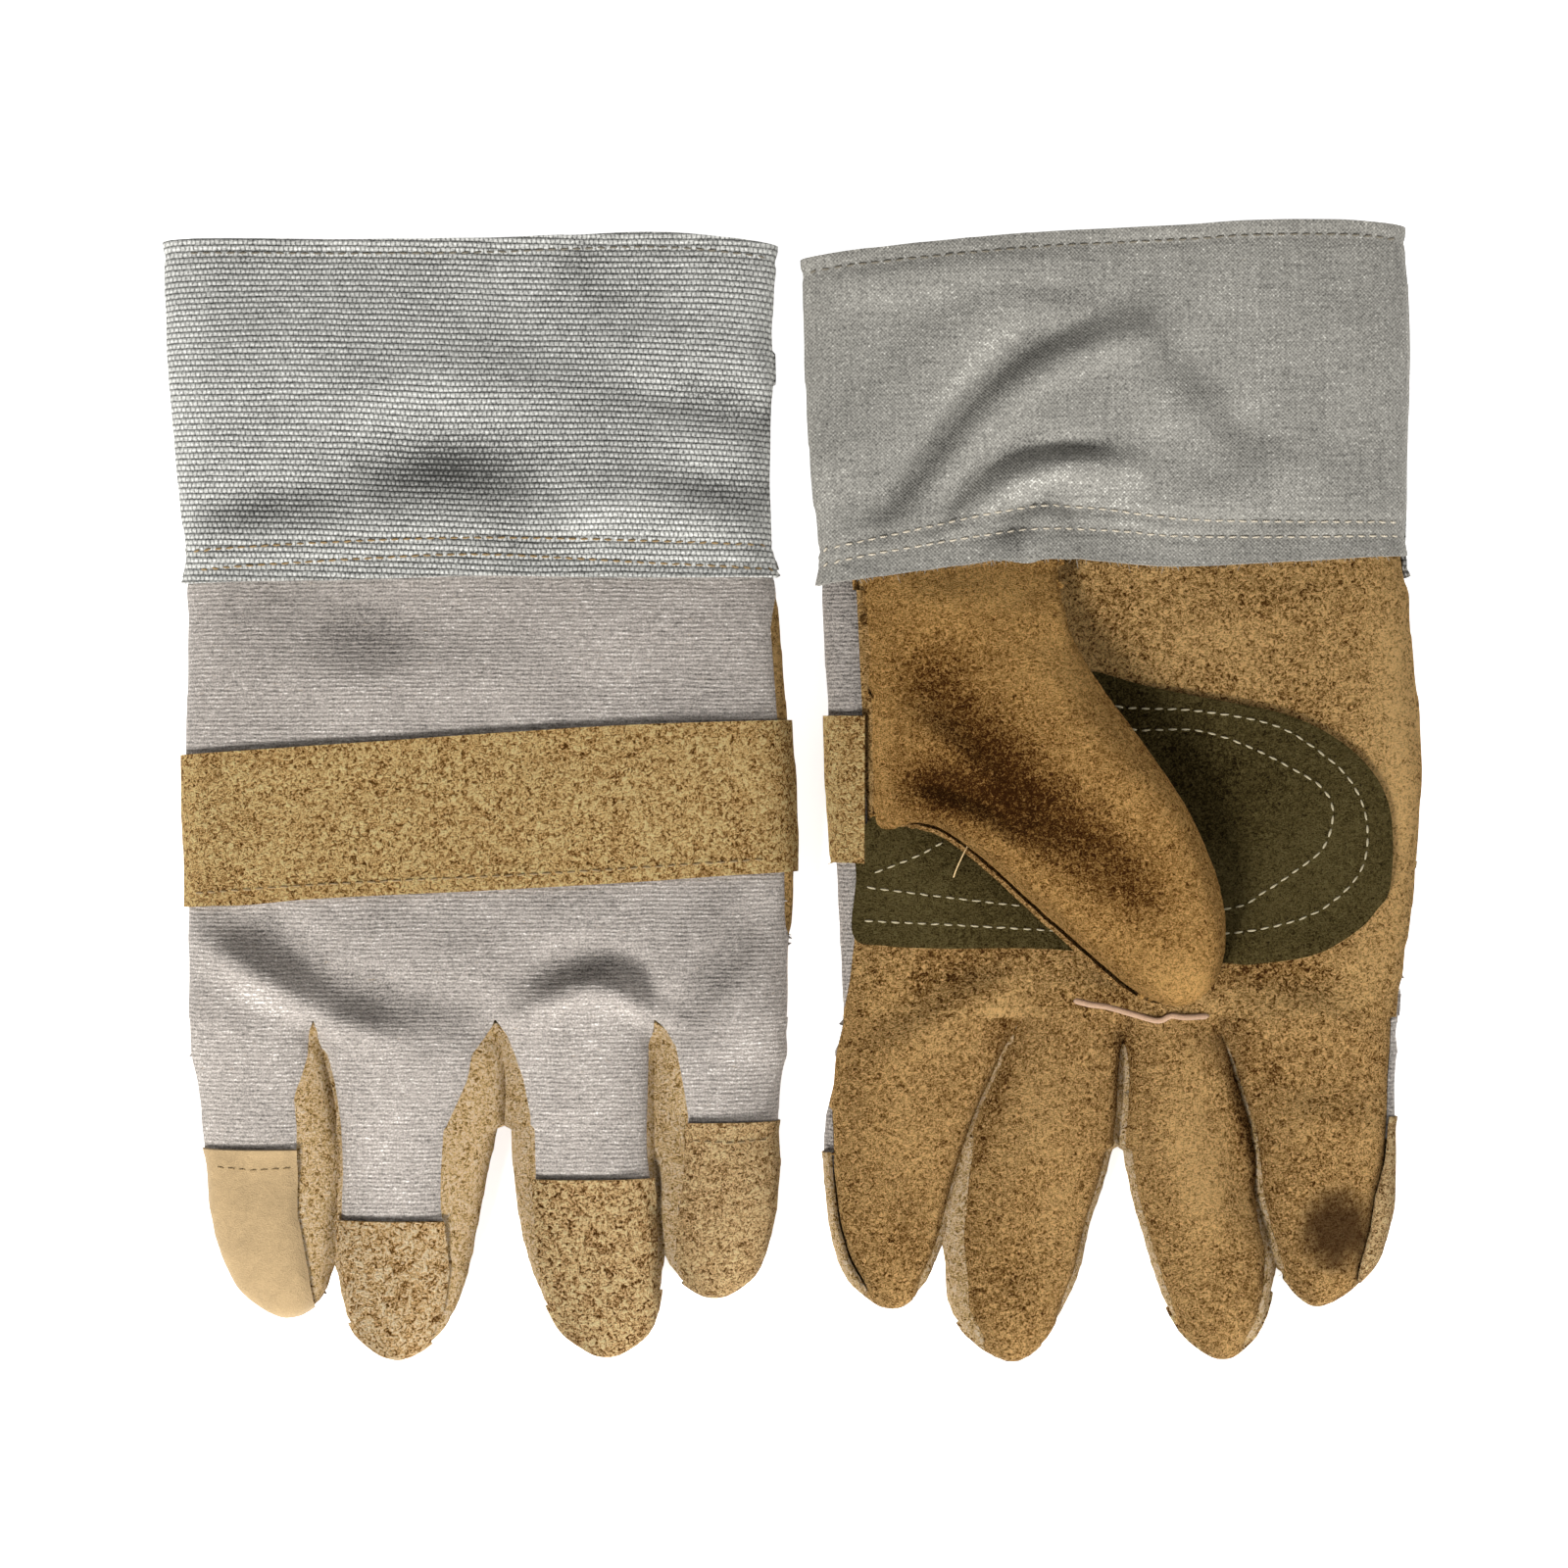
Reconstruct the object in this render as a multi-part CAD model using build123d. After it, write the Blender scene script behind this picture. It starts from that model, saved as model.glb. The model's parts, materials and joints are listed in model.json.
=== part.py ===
"""A pair of leather-palm gardening gloves lying flat: the left one on its palm, the right one on its back.

Each glove is cut from flat pieces: a canvas back, a leather palm with a fleece lining and a suede patch,
a pasted canvas cuff, a knuckle strap, four fingers with side strips and leather caps, and a wing thumb.
Both gloves have their fingers to -Y and their thumb side to -X. Heights are counted from the outside of
the back (depth 0) towards the palm, and `Lay` turns a depth into a height for each glove.
"""

from build123d import *

import os
from dataclasses import dataclass
from math import cos, radians, sin

# Sheet thicknesses, mm
LEATHER = 1.4
CANVAS = 1.0
CUFF_CLOTH = 1.4
FLEECE = 0.8
THREAD = 0.6

# The room that the sheets leave for the hand and the thumb, and the play between moving pieces
HAND_ROOM = 13.0
THUMB_ROOM = 8.6
THUMB_PLAY = 0.4
FINGER_GAP = 1.0
KNUCKLE_GAP = 0.4
CREASE_GAP = 0.4

# Lengths along a glove, counted from the knuckle line
HAND_LENGTH = 104.6
CUFF_OVERLAP = 12.0
CANVAS_UNDER_CAP = 8.0

# Half widths of the hand on its thumb side and its little-finger side
STRAP_HALF = (69.5, 71.0)
WRIST_HALF = (68.5, 67.5)
MOUTH_HALF = (75.0, 68.0)
STRAP_AT = 60.0
SIDE_LIP = 7.0

# Thumb: the crease that it folds on, and its outline beyond the crease
CREASE_MIDDLE = (-32.6, 63.3)
CREASE_TURN = 36.0
CREASE_HALF = 31.3
THUMB_LENGTH = 77.0
THUMB_LEAN = 5.0
THUMB_TIP_RADIUS = 15.0
WING_RIGHT = -13.0
WING_CORNER_DROP = 7.0
THUMB_HOLE_MARGIN = 6.0

# Patch across the palm
PATCH_LOW = 15.0
PATCH_LOW_AT_EDGE = 19.6
PATCH_RIGHT = 62.0
PATCH_TOP = 72.0
PATCH_ROUND_FROM = 36.0

# Strap, welt and stitches
STRAP_WIDTH = 35.0
WELT_WIDTH = 2.4
WELT_INSET = 3.0
CUFF_ROW = 4.6
CUFF_ROW_GAP = 3.6
MOUTH_HEM = 3.4
STRAP_HEM = 3.2
PATCH_HEM = 4.6
PATCH_ROW_GAP = 5.4
ROW_END = 4.0

PAIR_PITCH = 148.4
FAR = 400.0

# Depths of the layers, from the outside of the back to the outside of the thumb
BACK_OUT = max(LEATHER, CUFF_CLOTH)
BACK_IN = BACK_OUT + CANVAS
PALM_IN = BACK_IN + HAND_ROOM
PALM_OUT = PALM_IN + LEATHER
PATCH_OUT = PALM_OUT + LEATHER
CUFF_OUT = PALM_OUT + CUFF_CLOTH
THUMB_IN = max(PATCH_OUT, CUFF_OUT) + THUMB_PLAY
THUMB_OUT = THUMB_IN + 2 * LEATHER + THUMB_ROOM


@dataclass
class Finger:
    """A finger's outline: its width at the knuckle, its length, and its round tip."""

    root: float
    length: float
    lean: float
    tip_radius: float
    cap_at: float


@dataclass
class Glove:
    """What differs between the two gloves: the fingers, the cuff's two edges and the strap's slant."""

    name: str
    palm_up: bool
    fingers: dict
    cuff_lengths: tuple
    strap_low: tuple

    @property
    def width(self):
        return sum(f.root for f in self.fingers.values())


LEFT = Glove(
    "left",
    False,
    {
        "index": Finger(29.2, 69.0, 2.1, 13.5, 30.6),
        "middle": Finger(43.0, 79.4, -3.0, 14.5, 46.0),
        "ring": Finger(36.8, 79.4, 4.9, 13.5, 34.5),
        "little": Finger(29.0, 64.4, -1.0, 13.0, 22.5),
    },
    (80.0, 77.2),
    (27.6, 36.8),
)
RIGHT = Glove(
    "right",
    True,
    {
        "index": Finger(26.8, 66.7, -1.9, 13.5, 30.6),
        "middle": Finger(38.0, 79.4, -5.3, 15.0, 46.0),
        "ring": Finger(32.2, 78.2, 6.0, 13.0, 34.5),
        "little": Finger(33.4, 65.5, 1.0, 13.5, 22.5),
    },
    (75.5, 81.5),
    (37.5, 32.0),
)


class Lay:
    """How a stretch of a glove lies: the height of its back at each y, and which way is deeper."""

    def __init__(self, glove, heights):
        self.way = 1 if glove.palm_up else -1
        self.heights = heights

    def slab(self, depth_a, depth_b):
        """The space between two depths, as wide as the glove and more."""
        near = [(y, z + self.way * depth_a) for y, z in self.heights]
        far = [(y, z + self.way * depth_b) for y, z in self.heights]
        outline = Polyline(*near, *reversed(far), close=True)
        return extrude(Pos(-FAR / 2, 0, 0) * (Plane.YZ * make_face(outline)), FAR, dir=(1, 0, 0))

    def sheet(self, face, depth_a, depth_b):
        """A flat cut of the given outline, laid between two depths."""
        tall = extrude(Pos(0, 0, -FAR / 4) * face, FAR / 2)
        return tall & self.slab(depth_a, depth_b)


def hand_lay(glove):
    """The palm-up glove lies flat. The other rides on its thumb, and its cuff comes down to the ground."""
    mouth = HAND_LENGTH + max(glove.cuff_lengths)
    if glove.palm_up:
        return Lay(glove, [(-FAR, 0), (FAR, 0)])
    bend = HAND_LENGTH + CUFF_OVERLAP
    return Lay(glove, [(-FAR, THUMB_OUT), (bend, THUMB_OUT), (mouth, CUFF_OUT)])


def finger_lay(glove, finger):
    """A finger of the palm-down glove comes down to the ground at its tip."""
    if glove.palm_up:
        return Lay(glove, [(-FAR, 0), (FAR, 0)])
    return Lay(glove, [(-finger.length, PALM_OUT), (0, THUMB_OUT)])


def polygon(*points):
    return make_face(Polyline(*points, close=True))


def band(low, high):
    """Everything in plan between two values of y."""
    return Pos(0, (low + high) / 2) * Rectangle(FAR, high - low)


def side(x, way):
    """Everything in plan beyond x, to the right for way 1 and to the left for way -1."""
    return Pos(x + way * FAR / 2, 0) * Rectangle(FAR, 2 * FAR)


def hand_edges(glove, inset=0.0):
    """The hand's outline from the knuckles to where the cuff covers it, with both sides moved in."""
    half = glove.width / 2
    top = HAND_LENGTH + CUFF_OVERLAP
    low = KNUCKLE_GAP / 2
    left = [(-half, low), (-STRAP_HALF[0], STRAP_AT), (-WRIST_HALF[0], HAND_LENGTH), (-WRIST_HALF[0], top)]
    right = [(WRIST_HALF[1], top), (WRIST_HALF[1], HAND_LENGTH), (STRAP_HALF[1], STRAP_AT), (half, low)]
    return polygon(*[(x + inset, y) for x, y in left], *[(x - inset, y) for x, y in right])


def cuff_edges(glove, inset=0.0):
    """The cuff's outline, which clears the hand's sides by its own thickness."""
    low_left = WRIST_HALF[0] + CUFF_CLOTH - inset
    low_right = WRIST_HALF[1] + CUFF_CLOTH - inset
    reach = HAND_LENGTH + CUFF_OVERLAP
    tops = [HAND_LENGTH + length for length in glove.cuff_lengths]
    return polygon(
        (-low_left, HAND_LENGTH),
        (-low_left, reach),
        (-MOUTH_HALF[0] + inset, tops[0]),
        (MOUTH_HALF[1] - inset, tops[1]),
        (low_right, reach),
        (low_right, HAND_LENGTH),
    )


def finger_edges(finger, inset=0.0):
    """A finger's outline about the middle of its root, with its sides moved in and its root left open."""
    half = (finger.root - FINGER_GAP) / 2 - inset
    radius = finger.tip_radius - inset
    centre = -finger.length + finger.tip_radius
    root = -KNUCKLE_GAP / 2
    start, end = (finger.lean - radius, centre), (finger.lean + radius, centre)
    tip = ThreePointArc(start, (finger.lean, centre - radius), end)
    return make_face(Polyline(end, (half, root), (-half, root), start) + tip)


def thumb_edges(inset=0.0):
    """The thumb's outline beyond its crease, about the crease's middle."""
    radius = THUMB_TIP_RADIUS - inset
    centre = -THUMB_LENGTH + THUMB_TIP_RADIUS
    half = CREASE_HALF - inset
    start, end = (THUMB_LEAN - radius, centre), (THUMB_LEAN + radius, centre)
    tip = ThreePointArc(start, (THUMB_LEAN, centre - radius), end)
    root = -CREASE_GAP / 2
    return make_face(Polyline(end, (half, root), (-half, root), start) + tip)


def crease_place():
    """From the thumb's own frame to the glove's."""
    return Pos(*CREASE_MIDDLE, 0) * Rot(0, 0, CREASE_TURN)


def crease_end(way):
    """An end of the crease in the glove's plan: way 1 is the palm end and way -1 the thumb-side end."""
    turn = radians(CREASE_TURN)
    reach = way * CREASE_HALF
    return CREASE_MIDDLE[0] + reach * cos(turn), CREASE_MIDDLE[1] + reach * sin(turn)


def seam_x():
    """Where the back's side lip meets the palm on the thumb side."""
    return -STRAP_HALF[0] + SIDE_LIP


def wing_edges(inset=0.0, past_crease=0.0):
    """The thumb leather that stays on the hand. It may run on past the crease, to open that side."""
    turn = radians(CREASE_TURN)
    ahead = (sin(turn) * past_crease, -cos(turn) * past_crease)
    palm_end, side_end = crease_end(1), crease_end(-1)
    left = seam_x() + inset
    top = HAND_LENGTH - inset
    along = (cos(turn) * inset, sin(turn) * inset)
    return polygon(
        (left, top),
        (WING_RIGHT - inset, top),
        (palm_end[0] - along[0] + ahead[0], palm_end[1] - along[1] + ahead[1]),
        (side_end[0] + along[0] + ahead[0], side_end[1] + along[1] + ahead[1]),
        (left, side_end[1] + WING_CORNER_DROP),
    )


def patch_edges():
    """The suede patch, from the side seam across the palm, with a round end and its top at the crease."""
    palm_end, side_end = crease_end(1), crease_end(-1)
    left = seam_x()
    middle = (PATCH_LOW + PATCH_TOP) / 2
    start, end = (PATCH_ROUND_FROM, PATCH_LOW), (PATCH_ROUND_FROM, PATCH_TOP)
    round_end = ThreePointArc(start, (PATCH_RIGHT, middle), end)
    rest = Polyline(
        end, (palm_end[0], palm_end[1] - 1), (side_end[0], side_end[1] - 1), (left, side_end[1] - 1),
        (left, PATCH_LOW_AT_EDGE), start,
    )
    return make_face(round_end + rest)


def strap_edges(glove):
    """The knuckle strap's slanting band, out past both sides of the hand."""
    low_left, low_right = glove.strap_low
    reach = STRAP_HALF[1] + LEATHER
    reach_left = STRAP_HALF[0] + LEATHER
    return polygon(
        (-reach_left, low_left),
        (-reach_left, low_left + STRAP_WIDTH),
        (reach, low_right + STRAP_WIDTH),
        (reach, low_right),
    )


def strap_outline(glove):
    """The band cut to the hand's own sides, with the leather's thickness over the thumb side."""
    grown = hand_edges(glove, -LEATHER)
    return (strap_edges(glove) & grown) - side(0, 1) + (strap_edges(glove) & hand_edges(glove) & side(0, 1))


def slant_row(left, right):
    """One row of thread in plan, straight between two points."""
    (x0, y0), (x1, y1) = left, right
    return polygon((x0, y0), (x0, y0 + THREAD), (x1, y1 + THREAD), (x1, y1))


def cuff_rows(glove):
    """The two rows that sew the cuff on, and the row that hems its mouth, in plan."""
    reach = min(WRIST_HALF) - ROW_END
    seams = [HAND_LENGTH + CUFF_ROW, HAND_LENGTH + CUFF_ROW + CUFF_ROW_GAP]
    tops = [HAND_LENGTH + length - MOUTH_HEM for length in glove.cuff_lengths]
    rows = [slant_row((-reach, y), (reach, y)) for y in seams]
    return rows + [slant_row((-reach, tops[0]), (reach, tops[1]))]


def strap_row(glove):
    """The row along the strap's edge on the finger side."""
    reach = min(STRAP_HALF) - ROW_END
    low_left, low_right = glove.strap_low
    return slant_row((-reach, low_left + STRAP_HEM), (reach, low_right + STRAP_HEM))


def patch_rows():
    """The two rows round the patch, inside its edge."""
    rows = []
    for inset in (PATCH_HEM, PATCH_HEM + PATCH_ROW_GAP):
        rows.append(offset(patch_edges(), -inset) - offset(patch_edges(), -inset - THREAD))
    return rows


def finger_pieces(glove, name, finger):
    """The front leather, canvas back, side strips and cap of one finger, about the middle of its root."""
    lay = finger_lay(glove, finger)
    outer = finger_edges(finger)
    wall = CANVAS if name == "index" else LEATHER
    ring = outer - finger_edges(finger, LEATHER)
    tip = -finger.length + finger.tip_radius
    sides = ring & band(tip, FAR)
    end = ring & band(-FAR, tip)
    cap = outer & band(-FAR, -finger.cap_at)
    canvas_end = -finger.cap_at - CANVAS_UNDER_CAP
    left, right = sides & side(finger.lean / 2, -1), sides & side(finger.lean / 2, 1)
    front = lay.sheet(outer, PALM_IN, PALM_OUT)
    back = lay.sheet(outer & band(canvas_end, FAR), BACK_OUT, BACK_IN)
    strips = []
    for strip, way in ((left, -1), (right, 1)):
        standing = lay.sheet(strip, BACK_IN, PALM_IN)
        if name == "index" and way < 0:
            back = back + lay.sheet(strip & band(canvas_end, FAR), BACK_IN, PALM_IN)
            front = front + lay.sheet(strip & band(-FAR, canvas_end), BACK_IN, PALM_IN)
        elif name == "little" and way > 0:
            front = front + standing
        else:
            strips.append(standing)
    cap_piece = lay.sheet(cap, BACK_OUT - LEATHER, BACK_OUT) + lay.sheet(end, BACK_OUT, PALM_IN)
    return {"front": front, "back": back, "cap": cap_piece, "fourchette": Compound(strips)}


def thumb_pieces(lay):
    """The thumb beyond its crease: the outer leather, and the inner leather with the sides turned up."""
    outline = crease_place() * thumb_edges()
    ring = outline - crease_place() * thumb_edges(LEATHER)
    inner = lay.sheet(outline, THUMB_IN, THUMB_IN + LEATHER)
    walls = lay.sheet(ring, THUMB_IN + LEATHER, THUMB_OUT - LEATHER)
    return {"thumb_outer": lay.sheet(outline, THUMB_OUT - LEATHER, THUMB_OUT), "thumb_inner": inner + walls}


def wing(glove, lay):
    """The wing rises from the wrist to the thumb's full height at the crease, and is hollow under it."""
    low = THUMB_IN + LEATHER
    run = HAND_LENGTH - CREASE_MIDDLE[1] + CREASE_HALF
    back = lay.heights[-2][1]
    way = lay.way
    crease = CREASE_GAP / 2

    def wedge(thickness):
        top = THUMB_OUT - thickness
        far_top = low + LEATHER - thickness
        near, wide = -3 * LEATHER, FAR / 2
        slope = [
            (near, back + way * PALM_OUT),
            (near, back + way * top),
            (crease, back + way * top),
            (run, back + way * far_top),
            (run, back + way * PALM_OUT),
        ]
        face = Plane.YZ * polygon(*slope)
        return crease_place() * extrude(Pos(-wide / 2, 0, 0) * face, wide, dir=(1, 0, 0))

    plan = wing_edges() & (crease_place() * (Pos(0, crease + FAR / 2) * Rectangle(FAR, FAR)))
    outer = extrude(Pos(0, 0, -FAR / 4) * plan, FAR / 2) & wedge(0)
    room = wing_edges(LEATHER, 2 * LEATHER)
    inner = extrude(Pos(0, 0, -FAR / 4) * room, FAR / 2) & wedge(LEATHER)
    return outer - inner


def hand_pieces(glove):
    """Everything that is sewn to the hand itself."""
    lay = hand_lay(glove)
    outline = hand_edges(glove)
    lip = outline - side(seam_x(), 1)
    hole = wing_edges(THUMB_HOLE_MARGIN)
    left_wall = (outline - hand_edges(glove, CANVAS)) & side(0, -1)
    right_wall = (outline - hand_edges(glove, LEATHER)) & side(0, 1)

    back = lay.sheet(outline, BACK_OUT, BACK_IN)
    back = back + lay.sheet(left_wall & outline, BACK_IN, PALM_IN) + lay.sheet(lip, PALM_IN, PALM_IN + CANVAS)
    palm = lay.sheet((outline & side(seam_x(), 1)) - hole, PALM_IN, PALM_OUT)
    palm = palm + lay.sheet(right_wall, BACK_IN, PALM_IN)
    lining_outline = (hand_edges(glove, LEATHER) & side(seam_x(), 1)) - hole
    lining = lay.sheet(lining_outline, PALM_IN - FLEECE, PALM_IN)

    strap_plan = strap_outline(glove)
    strap_wall = (strap_plan - outline) & side(0, -1)
    strap_lip = strap_plan - side(seam_x(), 1)
    strap = lay.sheet(strap_plan, BACK_OUT - LEATHER, BACK_OUT)
    strap = strap + lay.sheet(strap_wall, BACK_OUT, PALM_OUT)
    strap = strap + lay.sheet(strap_lip, PALM_OUT, PALM_OUT + LEATHER)

    cuff = cuff_edges(glove)
    past_hand = cuff - band(-FAR, HAND_LENGTH)
    cuff_back = lay.sheet(cuff, BACK_OUT - CUFF_CLOTH, BACK_OUT)
    cuff_back = cuff_back + lay.sheet(past_hand - cuff_room(glove), BACK_OUT, PALM_OUT)
    pieces = {
        "cuff_back": cuff_back,
        "cuff_palm": lay.sheet(cuff, PALM_OUT, CUFF_OUT),
        "back_panel": back,
        "palm_panel": palm,
        "palm_lining": lining,
        "knuckle_strap": strap,
        "palm_patch": lay.sheet(patch_edges(), PALM_OUT, PATCH_OUT),
        "thumb_wing": wing(glove, lay),
        "finger_welt": lay.sheet(welt_edges(glove), PALM_OUT, PALM_OUT + LEATHER),
    }
    return sew(glove, lay, pieces)


def cuff_room(glove):
    """The cuff's hollow in plan, open at its mouth."""
    mouth = HAND_LENGTH + max(glove.cuff_lengths)
    way_out = Pos(0, mouth) * Rectangle(2 * (min(WRIST_HALF) - CUFF_CLOTH), 4 * MOUTH_HEM)
    return cuff_edges(glove, CUFF_CLOTH) + way_out


def sew(glove, lay, pieces):
    """Sink each row of thread into the piece that it holds, and make all rows of the hand one piece."""
    back_of = (BACK_OUT - CUFF_CLOTH, BACK_OUT - CUFF_CLOTH + THREAD)
    jobs = [("cuff_back", row, *back_of) for row in cuff_rows(glove)]
    jobs += [("cuff_palm", row, CUFF_OUT - THREAD, CUFF_OUT) for row in cuff_rows(glove)]
    jobs += [("palm_patch", row, PATCH_OUT - THREAD, PATCH_OUT) for row in patch_rows()]
    strap_top = BACK_OUT - LEATHER
    jobs.append(("knuckle_strap", strap_row(glove), strap_top, strap_top + THREAD))
    threads = []
    for name, row, depth_a, depth_b in jobs:
        thread = lay.sheet(row, depth_a, depth_b)
        pieces[name] = pieces[name] - thread
        threads.extend(thread.solids())
    pieces["hand_stitching"] = Compound(threads)
    return pieces


def welt_edges(glove):
    """The narrow strip in the seam where the two middle fingers meet the palm."""
    first = -glove.width / 2 + glove.fingers["index"].root
    last = glove.width / 2 - glove.fingers["little"].root
    low = KNUCKLE_GAP / 2
    left, right = first + WELT_INSET, last - WELT_INSET
    return polygon((left, low), (left, low + WELT_WIDTH), (right, low + WELT_WIDTH), (right, low))


def build_glove(glove):
    """Every piece of one glove by node name, in its own plan, and the root's middle of each finger."""
    pieces = {f"{glove.name}_{n}": s for n, s in hand_pieces(glove).items()}
    pieces |= {f"{glove.name}_{n}": s for n, s in thumb_pieces(hand_lay(glove)).items()}
    x = -glove.width / 2
    for name, finger in glove.fingers.items():
        x += finger.root / 2
        for part, shape in finger_pieces(glove, name, finger).items():
            pieces[f"{glove.name}_{name}_{part}"] = Pos(x, 0, 0) * shape
        x += finger.root / 2
    return pieces


def main():
    os.makedirs("parts", exist_ok=True)
    placed = {}
    for glove, way in ((LEFT, -1), (RIGHT, 1)):
        for name, shape in build_glove(glove).items():
            placed[name] = Pos(way * PAIR_PITCH / 2, 0, 0) * shape
    whole = Compound(list(placed.values())).bounding_box()
    home = Pos(-(whole.min.X + whole.max.X) / 2, -(whole.min.Y + whole.max.Y) / 2, -whole.min.Z)
    for name, shape in placed.items():
        export_step(home * shape, f"parts/{name}.step")
    print("overall size", whole.size, "moved by", home.position)


main()
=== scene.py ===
import json
import math
import random

import bmesh
import bpy
import numpy as np
from mathutils import Matrix, Vector, noise
from mathutils.bvhtree import BVHTree
from mathutils.kdtree import KDTree


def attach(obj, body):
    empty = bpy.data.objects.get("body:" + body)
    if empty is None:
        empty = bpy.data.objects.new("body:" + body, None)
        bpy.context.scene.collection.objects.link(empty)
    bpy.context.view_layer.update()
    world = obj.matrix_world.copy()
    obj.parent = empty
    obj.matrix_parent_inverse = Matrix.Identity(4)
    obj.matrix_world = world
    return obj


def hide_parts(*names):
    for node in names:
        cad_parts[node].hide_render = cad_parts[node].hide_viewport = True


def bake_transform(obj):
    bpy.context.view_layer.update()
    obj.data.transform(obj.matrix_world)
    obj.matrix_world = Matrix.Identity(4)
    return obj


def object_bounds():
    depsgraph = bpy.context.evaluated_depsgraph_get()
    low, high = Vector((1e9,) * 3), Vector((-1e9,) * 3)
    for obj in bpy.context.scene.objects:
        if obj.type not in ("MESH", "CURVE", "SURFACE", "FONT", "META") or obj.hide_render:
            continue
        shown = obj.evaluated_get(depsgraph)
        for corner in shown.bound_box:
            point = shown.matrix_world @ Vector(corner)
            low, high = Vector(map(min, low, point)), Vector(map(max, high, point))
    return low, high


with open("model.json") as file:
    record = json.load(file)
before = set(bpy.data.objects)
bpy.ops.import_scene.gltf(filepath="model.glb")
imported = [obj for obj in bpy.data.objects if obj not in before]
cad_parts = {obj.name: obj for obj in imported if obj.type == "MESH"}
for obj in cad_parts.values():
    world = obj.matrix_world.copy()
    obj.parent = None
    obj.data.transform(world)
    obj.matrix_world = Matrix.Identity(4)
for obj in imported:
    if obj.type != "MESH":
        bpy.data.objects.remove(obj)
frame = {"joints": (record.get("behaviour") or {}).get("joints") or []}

# A pair of leather-palm gloves. Each glove is shaped flat first, in millimetres: x across it from the
# glove's middle line, y from the knuckle line towards the cuff, and depth from the back of the hand
# towards the palm. `lay` then puts the flat shape where the CAD glove lies.
MM = 0.001
cad_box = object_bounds()
HINGES = {j["name"]: Vector(j["pos_m"]) for j in frame["joints"] if "pos_m" in j}

# How fine the shapes are made: the first grid's step, and the even mesh's.
CELL = 1.5
VOXEL = 1.2

MID = 9.1               # depth of the empty glove's middle plane
HALF_ROOM = 7.7         # from there to its skin, well inside the edge
LEATHER = 1.4
CANVAS = 1.0
THUMB_TOP = 29.6        # depth of the folded thumb's outside
TOP = cad_box[1].z / MM  # nothing stands higher than the CAD pair
FAR = 90.0              # safely past a glove's side
TIP = -95.0             # safely past its fingertips
SLIM = 1.1              # taken off each side of a finger while it is shaped, and given back by `unslim`
GROW = 0.75             # a finger's padding starts this far outside its own line


def smooth_step(value, low, high):
    """0 below low, 1 above high, and smooth between them."""
    t = np.clip((np.asarray(value, float) - low) / (high - low), 0.0, 1.0)
    return t * t * (3 - 2 * t)


def spline(points, steps=5, closed=False):
    """A smooth line through the points."""
    pts = [np.array(p, float) for p in points]
    count = len(pts) if closed else len(pts) - 1
    line = []
    for i in range(count):
        if closed:
            a, b, c, d = (pts[(i + k) % len(pts)] for k in (-1, 0, 1, 2))
        else:
            a, b, c, d = pts[max(i - 1, 0)], pts[i], pts[i + 1], pts[min(i + 2, count)]
        for k in range(steps):
            t = k / steps
            line.append(
                0.5 * (2 * b + (c - a) * t + (2 * a - 5 * b + 4 * c - d) * t * t
                       + (3 * b - a - 3 * c + d) * t ** 3)
            )
    if not closed:
        line.append(pts[-1])
    return np.array(line)


def along(stations, y):
    """The value at y of a list of (y, value) pairs."""
    ordered = sorted(stations)
    return np.interp(y, [s[0] for s in ordered], [s[1] for s in ordered])


def signed_distance(points, outline):
    """How far each point is inside a closed outline, negative outside it."""
    best = np.full(len(points), 1e9)
    inside = np.zeros(len(points), bool)
    x, y = points[:, 0], points[:, 1]
    for (x0, y0), (x1, y1) in zip(outline, np.roll(outline, -1, axis=0)):
        dx, dy = x1 - x0, y1 - y0
        length = dx * dx + dy * dy
        if length < 1e-12:
            continue
        t = np.clip(((x - x0) * dx + (y - y0) * dy) / length, 0, 1)
        best = np.minimum(best, (x - x0 - t * dx) ** 2 + (y - y0 - t * dy) ** 2)
        crosses = (y0 > y) != (y1 > y)
        with np.errstate(divide="ignore", invalid="ignore"):
            inside ^= crosses & (x < (x1 - x0) * (y - y0) / (y1 - y0) + x0)
    distance = np.sqrt(best)
    return np.where(inside, distance, -distance)


def line_distance(points, line):
    """The distance of each point from an open line, and how far along it (0 to 1) the nearest place is."""
    best = np.full(len(points), 1e9)
    place = np.zeros(len(points))
    total = len(line) - 1
    for i in range(total):
        start, run = line[i], line[i + 1] - line[i]
        t = np.clip((points - start) @ run / max(run @ run, 1e-9), 0, 1)
        gap = ((points - start - t[:, None] * run) ** 2).sum(1)
        nearer = gap < best
        best = np.where(nearer, gap, best)
        place = np.where(nearer, (i + t) / total, place)
    return np.sqrt(best), place


def pillow(distance, radius):
    """The rounded rise of a stuffed edge: 0 at the edge and 1 from radius inwards."""
    t = np.clip(distance / radius, 0, 1)
    return np.sqrt(np.maximum(1 - (1 - t) ** 2, 0))


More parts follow.
